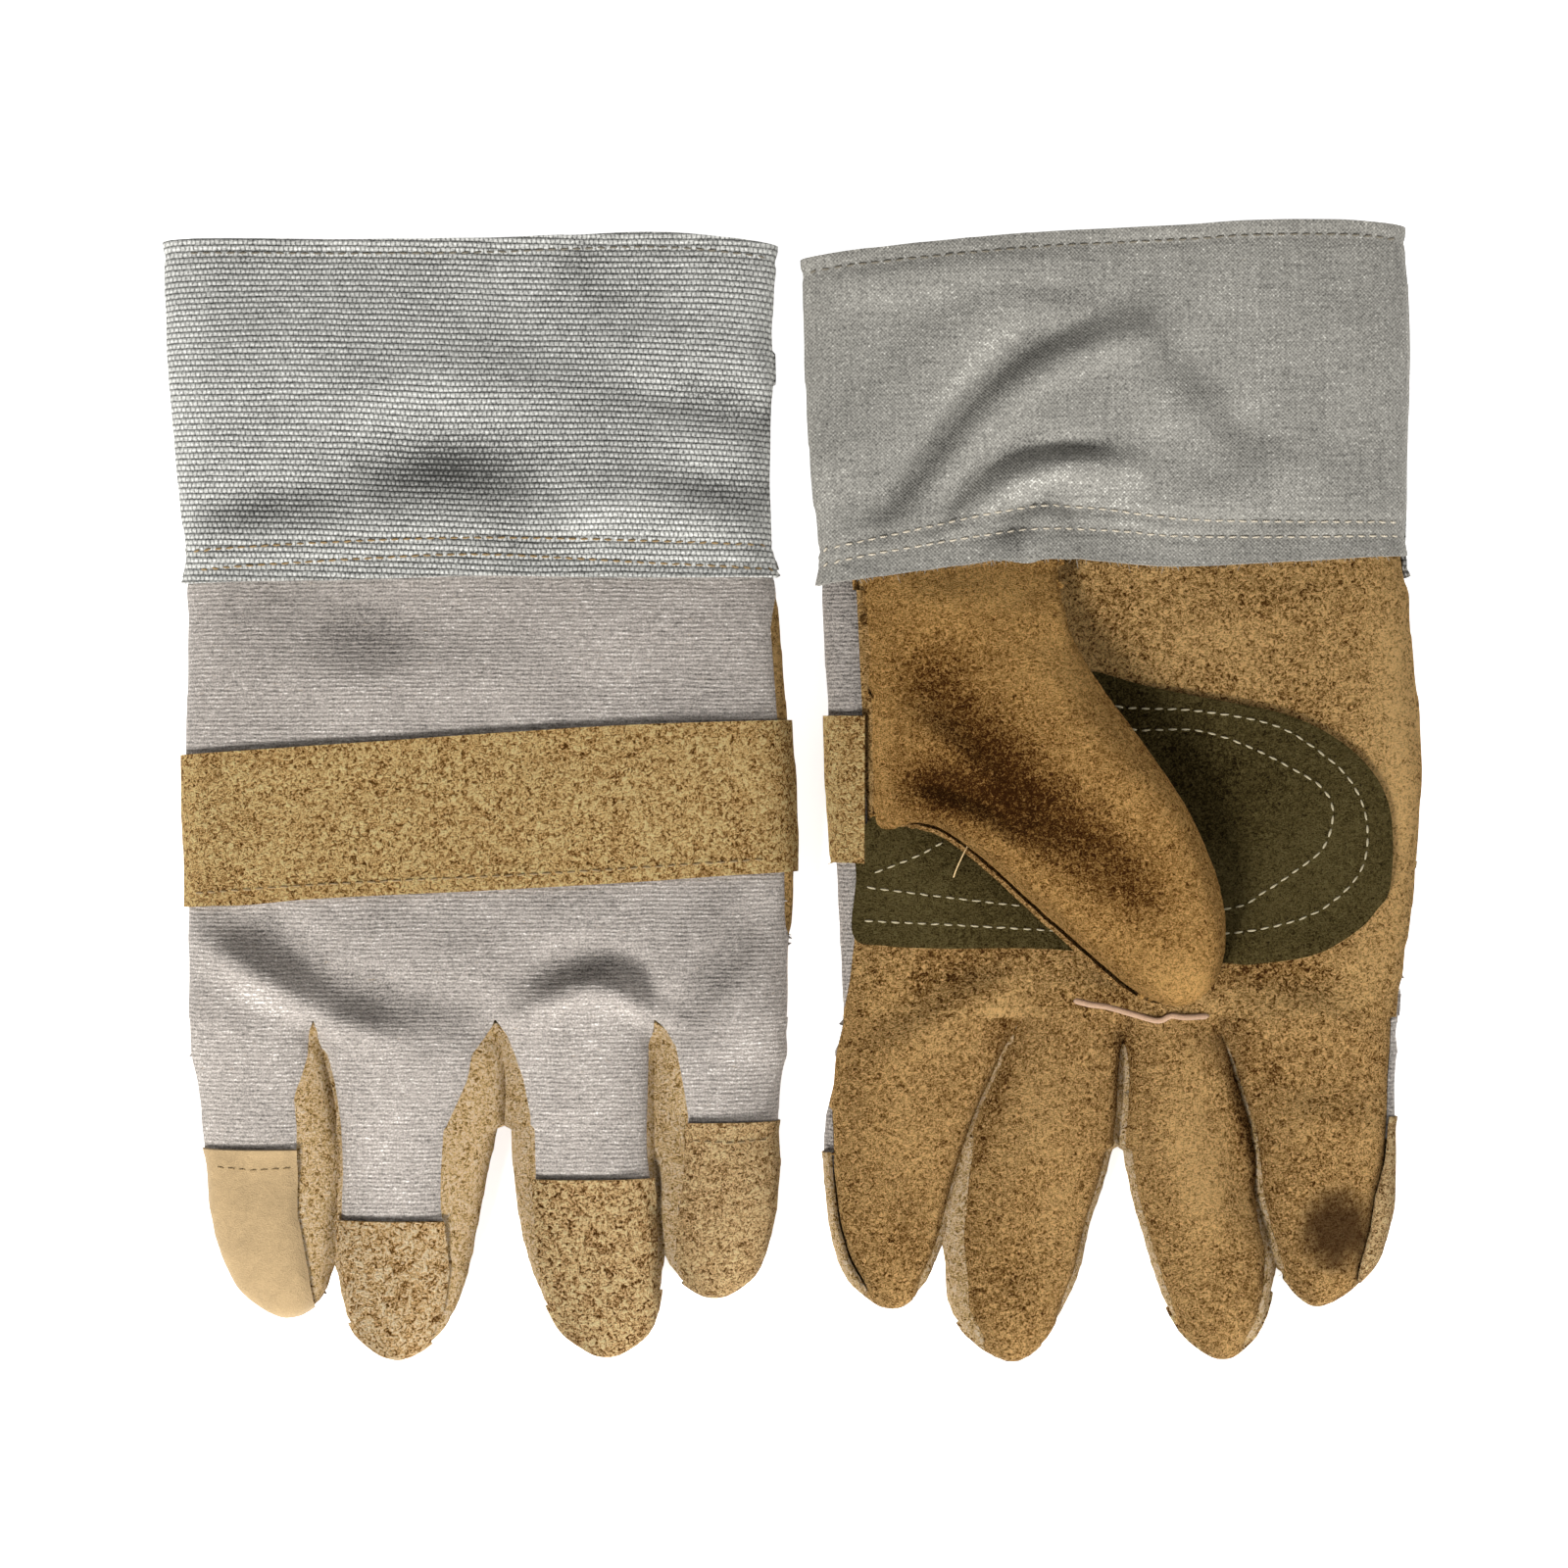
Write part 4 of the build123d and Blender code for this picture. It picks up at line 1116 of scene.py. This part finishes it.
def make_finger(glove, pad, index):
    part = glove.fingers[index]
    first, last = index == 0, index == len(glove.fingers) - 1
    cap_top = part.cap[1 if glove.palm_up else 0]
    bend = (glove.place(0, 0, MID), glove.place(0, -15, MID))
    body, stem = part.name, f"{glove.name}_{part.name}"

    def panel(side, top, bottom):
        ys = steps_between(top, bottom, 2.0)
        return strip_outline(glove.border(index, side, -1, ys), glove.border(index, side, 1, ys), ys)

    def outer_wrap(top, bottom):
        """The part of an outer finger's side that the back pieces take with them to the palm side."""
        way = -1 if first else 1
        found = strip_range(part.widths[("palm", "left" if first else "right")])
        if not (first or last) or found is None:
            return []
        high, low = min(found[0], top), max(found[1], bottom)
        if high - low < 1:
            return []
        ys = steps_between(high, low, 2.0)
        edge, seam = np.full_like(ys, way * FAR), glove.border(index, "palm", way, ys)
        lines = (edge, seam) if first else (seam, edge)
        return [cut(pad, strip_outline(*lines, ys), "palm")]

    tucked = cap_top - 5
    canvas = sew(f"{stem}_canvas", [cut(pad, panel("back", 0, tucked), "back"), *outer_wrap(0, tucked)],
                 0, CANVAS, seam=0.5)
    finish_piece(glove, canvas, PAINTS["canvas"], "hand", [f"{body}_back"], (body, *bend))

    def raised(co):
        """The cap stands proud of the canvas at its top edge, and comes down to its side seams."""
        y = co[:, 1]
        left, right = (glove.border(index, "back", way, y) for way in (-1, 1))
        room = np.minimum(co[:, 0] - left, right - co[:, 0])
        top = smooth_step(y, cap_top - 9, cap_top - 4)
        off_rim = smooth_step(np.abs(co[:, 2] - MID), 0.4, 4.5)
        off = np.maximum(smooth_step(room, -0.5, 2.4), 0.8 * top) * off_rim
        return 0.9 * off + 0.35 * smooth_step(y, cap_top - 2.5, cap_top)

    front_paint = "smudged" if glove.palm_up and part.name == "little" else "front"
    front = sew(f"{stem}_front", [cut(pad, panel("palm", 0, TIP), "palm")], 0.15, LEATHER, seam=0.8)
    finish_piece(glove, front, PAINTS[front_paint], "hand", [f"{body}_front"], (body, *bend))
    cap = sew(f"{stem}_cap", [cut(pad, panel("back", cap_top, TIP), "back"), *outer_wrap(cap_top, TIP)],
              0.15, 1.1, raised)
    cap_paint = "strip" if glove.palm_up and first else f"cap_{part.name}"
    finish_piece(glove, cap, PAINTS[cap_paint], body, [f"{body}_cap"])

    strips = []
    for way, name in ((-1, "left"), (1, "right")):
        if (first and way < 0) or (last and way > 0):
            continue
        for side in ("back", "palm"):
            found = strip_range(part.widths[(side, name)])
            if found is None:
                continue
            ys = steps_between(min(found[0], -1.0), found[1], 1.6)
            gap = glove.divide(index - 1 if way < 0 else index, ys)
            seam = glove.border(index, side, way, ys)
            strips.append(cut(pad, strip_outline(*((gap, seam) if way < 0 else (seam, gap)), ys), side))
    side_strips = sew(f"{stem}_side_strips", strips, -0.3, 1.1, seam=0.25)
    finish_piece(glove, side_strips, PAINTS["strip"], "hand", [f"{body}_fourchette"], (body, *bend))


# ---------------------------------------------------------------- the thumb and its wing
CREASE = (Vector((-32.6, 63.3)), math.radians(36))


def thumb_levels(glove):
    """Functions of (x, y): the thumb pad's underside, its outside, and the level its two leathers meet at."""
    outline = spline(THUMB_OUTLINE, 5, True)
    sewn = spline([(-60.6, 113), (-60.8, 96), (-59.6, 78), (-58.4, 60), (-57.6, 45.5)], 5)
    top = np.array([(-64, 113), (-8, 113)])

    def levels(xy):
        inside = signed_distance(xy, outline)
        palm = MID + glove.height(xy[:, 0], xy[:, 1])[0]
        from_seam = line_distance(xy, sewn)[0]
        from_top = line_distance(xy, top)[0]
        floor = palm + 0.1 + 1.5 * smooth_step(from_seam, 0, 12) * smooth_step(from_top, 6, 18)
        free = smooth_step(np.minimum(from_seam, from_top * 0.8), 0, 12)
        meet = floor + 0.5 + 2.1 * free
        side = 0.06 + 0.94 * smooth_step(from_seam, -4, 30) ** 0.8
        end = 0.02 + 0.98 * smooth_step(from_top, 8, 66)
        full = np.maximum(THUMB_TOP - meet, 0) * side * end
        rim = 0.3 + 0.7 * smooth_step(from_top, 6, 20)
        outer = meet + full * pillow(inside, 11) + rim * pillow(inside, 1.6)
        under = meet - (meet - floor) * pillow(inside, 4)
        return under, outer, meet, inside

    return levels


def slab_cutter(level, way):
    """A closed cutter that fills everything above (way 1) or below a wavy level."""
    bm = bmesh.new()
    place = Matrix.Translation((-18, 56, 0)) @ Matrix.Diagonal((56, 68, 1, 1))
    bmesh.ops.create_grid(bm, x_segments=44, y_segments=54, size=1, matrix=place)
    base = list(bm.verts)
    made = bmesh.ops.extrude_face_region(bm, geom=list(bm.faces))
    lifted = [g for g in made["geom"] if isinstance(g, bmesh.types.BMVert)]
    for vert, z in zip(base, level(np.array([v.co[:2] for v in base]))):
        vert.co.z = z
    for vert in lifted:
        vert.co.z = 70 if way > 0 else -40
    bmesh.ops.recalc_face_normals(bm, faces=bm.faces)
    for face in bm.faces:
        face.material_index = 1
    return as_object("cutter", bm)


def make_thumb(glove):
    levels = thumb_levels(glove)
    pad = pad_from_grid(
        f"{glove.name}_thumb_pad", (-66, -4), (30, 118), lambda xy: levels(xy)[3], lambda xy: levels(xy)[:2]
    )
    mesh = pad.data
    co, no = coords(mesh), normals(mesh)
    upper = np.clip(no[:, 2] * 1.6, 0, 1)
    push = np.zeros(len(co))
    for points, width, height in (
        ([(-54, 88), (-42, 78), (-32, 66), (-20, 53), (-4, 42), (6, 30)], 7.5, -4.2),
        ([(-54, 55), (-44, 56), (-32, 50), (-22, 42)], 5.0, -3.6),
        ([(-56, 47), (-46, 49), (-36, 45.5), (-20, 32), (-4, 17)], 4.0, 1.6),
        ([(-24, 100), (-20, 84), (-8, 66), (6, 50)], 7.0, 1.6), ([(-50, 98), (-30, 96)], 8.0, 0.8),
        ([(-10, 22), (0, 16), (8, 12)], 3.0, -0.8), ([(-52, 72), (-44, 66), (-38, 60)], 4.0, 1.0),
    ):
        gap, place = line_distance(co[:, :2], spline(points, 6))
        push += upper * height * np.exp(-((gap / width) ** 2)) * np.sin(np.clip(place, 0.05, 0.95) * math.pi)
    push += upper * (0.5 * unevenness(co, 22.0, 31) + 0.2 * unevenness(co, 8.0, 32))
    set_coords(mesh, co + no * push[:, None])
    middle, turn = CREASE
    reach = Vector((math.sin(turn), -math.cos(turn))) * 9
    bend = (glove.place(*(middle - reach), 24), glove.place(*(middle + reach), 24))

    def split(xy):
        """The outer leather wraps under the thumb's right side, and stops short along its lower edge."""
        low = (1 - smooth_step(xy[:, 0] * 0.62 + xy[:, 1], 40, 52)) * smooth_step(xy[:, 0], -56, -44)
        low = low * (1 - smooth_step(xy[:, 0], 8, 17))
        inward = smooth_step(xy[:, 0], -57, -47) * (1 - smooth_step(xy[:, 1], 92, 104))
        return levels(xy)[2] + 0.5 * low - 1.7 * (1 - low) * inward

    outer = keep_inside(pad, slab_cutter(split, 1))
    outer = sew(f"{glove.name}_thumb_outer_leather", [outer], 0, LEATHER, seam=0.35)
    outer_nodes = ["thumb_outer", "thumb_wing"]
    finish_piece(glove, outer, PAINTS["thumb"], "hand", outer_nodes, ("thumb", *bend))

    def lip(co):
        """The inner leather's rim shows past the outer one along the thumb's lower edge."""
        gap = levels(co[:, :2])[3]
        low = (1 - smooth_step(co[:, 0] * 0.62 + co[:, 1], 40, 52)) * (1 - smooth_step(co[:, 0], 6, 16))
        return 1.7 * (1 - smooth_step(gap, 0.5, 3)) * low * smooth_step(co[:, 0], -56, -44)

    inner = keep_inside(pad, slab_cutter(lambda xy: split(xy) - 0.12, -1))
    inner = sew(f"{glove.name}_thumb_inner_leather", [inner], 0, 1.0, lip)
    finish_piece(glove, inner, PAINTS["front"], "hand", ["thumb_inner"], ("thumb", *bend))
    discard(pad)


# ---------------------------------------------------------------- stitches, frayed edges and small things
class Surface:
    """The named laid pieces of one glove, for finding the outermost place over a point of the flat glove."""

    def __init__(self, glove, names):
        verts, faces = [], []
        for key, obj in glove.parts.items():
            if not any(n in key for n in names):
                continue
            base = len(verts)
            verts += [v.co.copy() for v in obj.data.vertices]
            faces += [[base + i for i in p.vertices] for p in obj.data.polygons]
        self.glove, self.tree = glove, BVHTree.FromPolygons(verts, faces)

    def find(self, x, y, side):
        """The surface's place and outward normal over (x, y)."""
        glove = self.glove
        up = (side == "palm") == glove.palm_up
        start = Vector((x * MM + glove.origin.x, y * MM + glove.origin.y, 0.2 if up else -0.2))
        place, normal, _, _ = self.tree.ray_cast(start, Vector((0, 0, -1 if up else 1)))
        if place is None:
            return None, None
        if normal.z * (1 if up else -1) < 0:
            normal = -normal
        return place, normal


def walk(line, pitch, phase=0.5):
    """Places and directions every pitch along a line, in millimetres."""
    runs = np.diff(line, axis=0)
    lengths = np.sqrt((runs ** 2).sum(1))
    total = np.concatenate([[0], np.cumsum(lengths)])
    found = []
    for at in np.arange(phase * pitch, total[-1], pitch):
        i = min(int(np.searchsorted(total, at, side="right")) - 1, len(runs) - 1)
        length = max(lengths[i], 1e-9)
        found.append((line[i] + runs[i] * (at - total[i]) / length, runs[i] / length))
    return found


def stitch(bm, place, along_it, normal, length, width):
    """One stitch: a small bead drawn out along the seam and half sunk in the cloth."""
    along_it = (along_it - normal * along_it.dot(normal)).normalized()
    across = normal.cross(along_it)
    turn = Matrix((along_it, across, normal)).transposed().to_4x4()
    size = Matrix.Diagonal((length * MM / 2, width * MM / 2, width * MM * 0.42, 1))
    bmesh.ops.create_uvsphere(bm, u_segments=6, v_segments=5, radius=1,
                              matrix=Matrix.Translation(place + normal * width * MM * 0.12) @ turn @ size)


def sew_rows(glove, name, rows, paint, body, surface):
    """Rows of stitches on a glove: each row is (side, line, pitch)."""
    rng = random.Random(name)
    bm = bmesh.new()
    for side, line, pitch in rows:
        for (x, y), (dx, dy) in walk(np.array(line), pitch):
            place, normal = surface.find(x, y, side)
            if place is None:
                continue
            sway = rng.uniform(-0.13, 0.13)
            heading = Vector((dx, dy + sway, 0))
            stitch(bm, place, heading, normal, pitch * rng.uniform(0.70, 0.80), rng.uniform(0.52, 0.62))
    for face in bm.faces:
        face.smooth = True
    small_piece(glove, name, bm, paint, body)


def small_piece(glove, name, bm, paint, body):
    obj = as_object(f"{glove.name}_{name}", bm)
    mesh = obj.data
    co = coords(mesh)
    flat = mesh.attributes.new("flat", "FLOAT_VECTOR", "POINT")
    flat.data.foreach_set("vector", (co / MM - np.array(glove.origin) / MM).astype(np.float32).ravel())
    mesh.materials.append(paint)
    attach(obj, f"{glove.name}_{body}")
    return obj


def tube(bm, points, radius, flatten=1.0, sides=6):
    """A thin round or flattened strand through the points, closed at its ends."""
    count = len(points)
    rings = []
    for i, point in enumerate(points):
        ahead = (points[min(i + 1, count - 1)] - points[max(i - 1, 0)]).normalized()
        across = ahead.cross(Vector((0, 0, 1)))
        across = across.normalized() if across.length > 1e-6 else Vector((1, 0, 0))
        up = across.cross(ahead)
        thin = radius * (0.35 if i in (0, count - 1) else 1)
        place = Matrix.Translation(point) @ Matrix((across, up, ahead)).transposed().to_4x4()
        made = bmesh.ops.create_circle(
            bm, cap_ends=False, segments=sides, radius=1,
            matrix=place @ Matrix.Diagonal((thin * flatten, thin, 1, 1)),
        )
        rings.append(made["verts"])
    for one, two in zip(rings, rings[1:]):
        edges = {e for ring in (one, two) for v in ring for e in v.link_edges if e.other_vert(v) in ring}
        bmesh.ops.bridge_loops(bm, edges=list(edges))
    for ring in (rings[0], rings[-1]):
        bmesh.ops.contextual_create(bm, geom=ring)
    bmesh.ops.recalc_face_normals(bm, faces=bm.faces)


def fray(glove, name, line, side, surface, amount):
    """Loose yarn ends that stand out of a raw cloth edge."""
    rng = random.Random(f"{glove.name}{name}")
    bm = bmesh.new()
    for (x, y), (dx, dy) in walk(np.array(line), amount):
        x, y = x + rng.uniform(-0.4, 0.4), y + rng.uniform(-0.1, 0.5)
        place, normal = surface.find(x, y + 0.4, side)
        if place is None or rng.random() < 0.25:
            continue
        lean = rng.gauss(0, 0.5)
        length = rng.uniform(0.5, 1.9) * (1.7 if rng.random() < 0.08 else 1)
        heading = Vector((math.sin(lean), -math.cos(lean), 0))
        lift = normal * rng.uniform(0.0, 0.35)
        path = [place + (heading * length * t + lift * t * t) * MM for t in (0, 0.5, 1)]
        path[1] = path[1] + Vector((rng.uniform(-0.2, 0.2), 0, 0)) * MM
        tube(bm, path, rng.uniform(0.05, 0.085) * MM, 1.0, 3)
    small_piece(glove, name, bm, PAINTS["grey_thread"], "hand")


def shifted(line, dy):
    return np.array(line) + (0, dy)


def make_details(glove):
    surface = Surface(glove, ["cloth", "strap", "patch", "hand", "thumb", "canvas", "cap"])
    mouth = spline(glove.mouth, 6)
    inside = mouth[(mouth[:, 0] > -73) & (mouth[:, 0] < 67.5)]
    hems = [(side, shifted(inside, -3.4), 2.9) for side in ("back", "palm")]
    sew_rows(glove, "hem_stitches", hems, PAINTS["hem_thread"], "hand", surface)
    for side, paint in (("back", "tan_thread"), ("palm", "cuff_thread")):
        rows = [(side, row_line(glove, side, which), 2.75) for which in ("upper", "lower")]
        sew_rows(glove, f"cuff_{side}_stitches", rows, PAINTS[paint], "hand", surface)
    for side in ("back", "palm"):
        edge = row_line(glove, side, "edge")
        edge = edge[(edge[:, 0] > -69) & (edge[:, 0] < 67.5)]
        fray(glove, f"frayed_{side}_edge", edge, side, surface, 0.55)
    on_patch = Surface(glove, ["patch"])
    loops = [("palm", spline(row, 8), 3.1) for row in PATCH_ROWS]
    sew_rows(glove, "patch_stitches", loops, PAINTS["thread"], "hand", on_patch)
    bottom = spline(glove.strap[0], 6)
    bottom = bottom[(bottom[:, 0] > -68) & (bottom[:, 0] < 70)]
    on_strap = Surface(glove, ["strap"])
    along_strap = [("back", shifted(bottom, 3.2), 2.9)]
    sew_rows(glove, "strap_stitches", along_strap, PAINTS["tan_thread"], "hand", on_strap)
    for index, part in enumerate(glove.fingers):
        if part.name not in ("index", "little"):
            continue
        cap_top = part.cap[1 if glove.palm_up else 0] - 4.4
        left = max(float(glove.border(index, "back", -1, np.array([cap_top]))[0]), part.edge(-1, cap_top) + 1)
        right = min(float(glove.border(index, "back", 1, np.array([cap_top]))[0]), part.edge(1, cap_top) - 1)
        middle = (left + right) / 2
        line = [(left + 0.5, cap_top + 0.3), (middle, cap_top - 0.3), (right - 0.5, cap_top + 0.2)]
        on_cap = Surface(glove, [f"{part.name}_cap"])
        sew_rows(glove, f"{part.name}_cap_stitches", [("back", np.array(line), 2.6)], PAINTS["tan_thread"],
                 part.name, on_cap)


def make_welt(glove):
    """A pale leather lip sewn in where the palm meets the two middle fingers."""
    bm = bmesh.new()
    surface = Surface(glove, ["palm_of_hand", "front"])
    points = []
    lip = [(-10, 4.2), (-6, 3.2), (-2, 2.6), (5, 0.6), (10, -0.6), (13, 0.6), (16, 0.2), (22, 0.4)]
    for x, y in spline(lip, 5):
        place, _ = surface.find(x, y, "palm")
        if place is not None:
            points.append(place)
    tube(bm, points, 0.42 * MM, 1.7, 8)
    proud = 0.3 if glove.palm_up else -0.3
    bmesh.ops.translate(bm, verts=bm.verts, vec=(0, 0, proud * MM))
    for face in bm.faces:
        face.smooth = True
    obj = small_piece(glove, "welt_lip", bm, PAINTS["welt"], "hand")
    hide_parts(f"{glove.name}_finger_welt")


def make_loose_thread(glove):
    """One thread end that stands out from under the thumb's lower edge."""
    bm = bmesh.new()
    shape = [(-34.0, 42.0, 20.6), (-35.2, 40.2, 21.2), (-36.6, 37.4, 20.8), (-37.7, 34.8, 19.8),
             (-38.3, 33.0, 18.9)]
    tube(bm, [glove.place(*p) for p in spline(shape, 4)], 0.16 * MM, 1.0, 6)
    small_piece(glove, "loose_thread", bm, PAINTS["loose_thread"], "hand")


def make_glove(glove):
    pad = hand_pad(glove)
    make_hand(glove, pad)
    make_cuff(glove, pad)
    for index in range(len(glove.fingers)):
        make_finger(glove, pad, index)
    discard(pad)
    make_thumb(glove)
    make_details(glove)
    make_welt(glove)
    if glove.palm_up:
        make_loose_thread(glove)
    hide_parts(f"{glove.name}_hand_stitching")


# ---------------------------------------------------------------- floor, light and camera
def make_stage():
    bm = bmesh.new()
    bmesh.ops.create_grid(bm, x_segments=1, y_segments=1, size=4, matrix=Matrix.Translation((0, 0, -0.0002)))
    floor = as_object("floor", bm)
    paint = bpy.data.materials.new("floor_white")
    paint.use_nodes = True
    surface = paint.node_tree.nodes["Principled BSDF"]
    surface.inputs["Base Color"].default_value = (0.94, 0.94, 0.94, 1)
    surface.inputs["Roughness"].default_value = 0.9
    surface.inputs["Emission Color"].default_value = (1, 1, 1, 1)
    surface.inputs["Emission Strength"].default_value = 0.8
    floor.data.materials.append(paint)

    world = bpy.data.worlds.new("studio")
    bpy.context.scene.world = world
    world.use_nodes = True
    world.node_tree.nodes["Background"].inputs["Color"].default_value = (1, 1, 1, 1)
    world.node_tree.nodes["Background"].inputs["Strength"].default_value = 0.27

    def lamp(name, place, size, power):
        data = bpy.data.lights.new(name, "AREA")
        data.shape, data.size, data.energy = "DISK", size, power
        obj = bpy.data.objects.new(name, data)
        bpy.context.scene.collection.objects.link(obj)
        obj.location = place
        obj.rotation_euler = (-Vector(place)).to_track_quat("-Z", "Y").to_euler()

    lamp("key", (-0.62, -1.0, 0.80), 0.42, 33)
    lamp("fill", (0.5, 0.8, 1.4), 1.2, 3)
    lamp("side", (1.2, -0.5, 0.55), 0.6, 11)

    data = bpy.data.cameras.new("camera")
    data.lens, data.sensor_width, data.clip_start, data.clip_end = 100, 36, 0.05, 10
    camera = bpy.data.objects.new("camera", data)
    bpy.context.scene.collection.objects.link(camera)
    bpy.context.scene.camera = camera
    middle_x, middle_y = LEFT.origin.x + 70.4 * MM, LEFT.origin.y + 55.0 * MM
    camera.location = (middle_x, middle_y, 0.018 + 368 * MM * data.lens / data.sensor_width)
    bpy.context.scene.view_settings.view_transform = "Standard"


for one_glove in GLOVES:
    make_glove(one_glove)
make_stage()
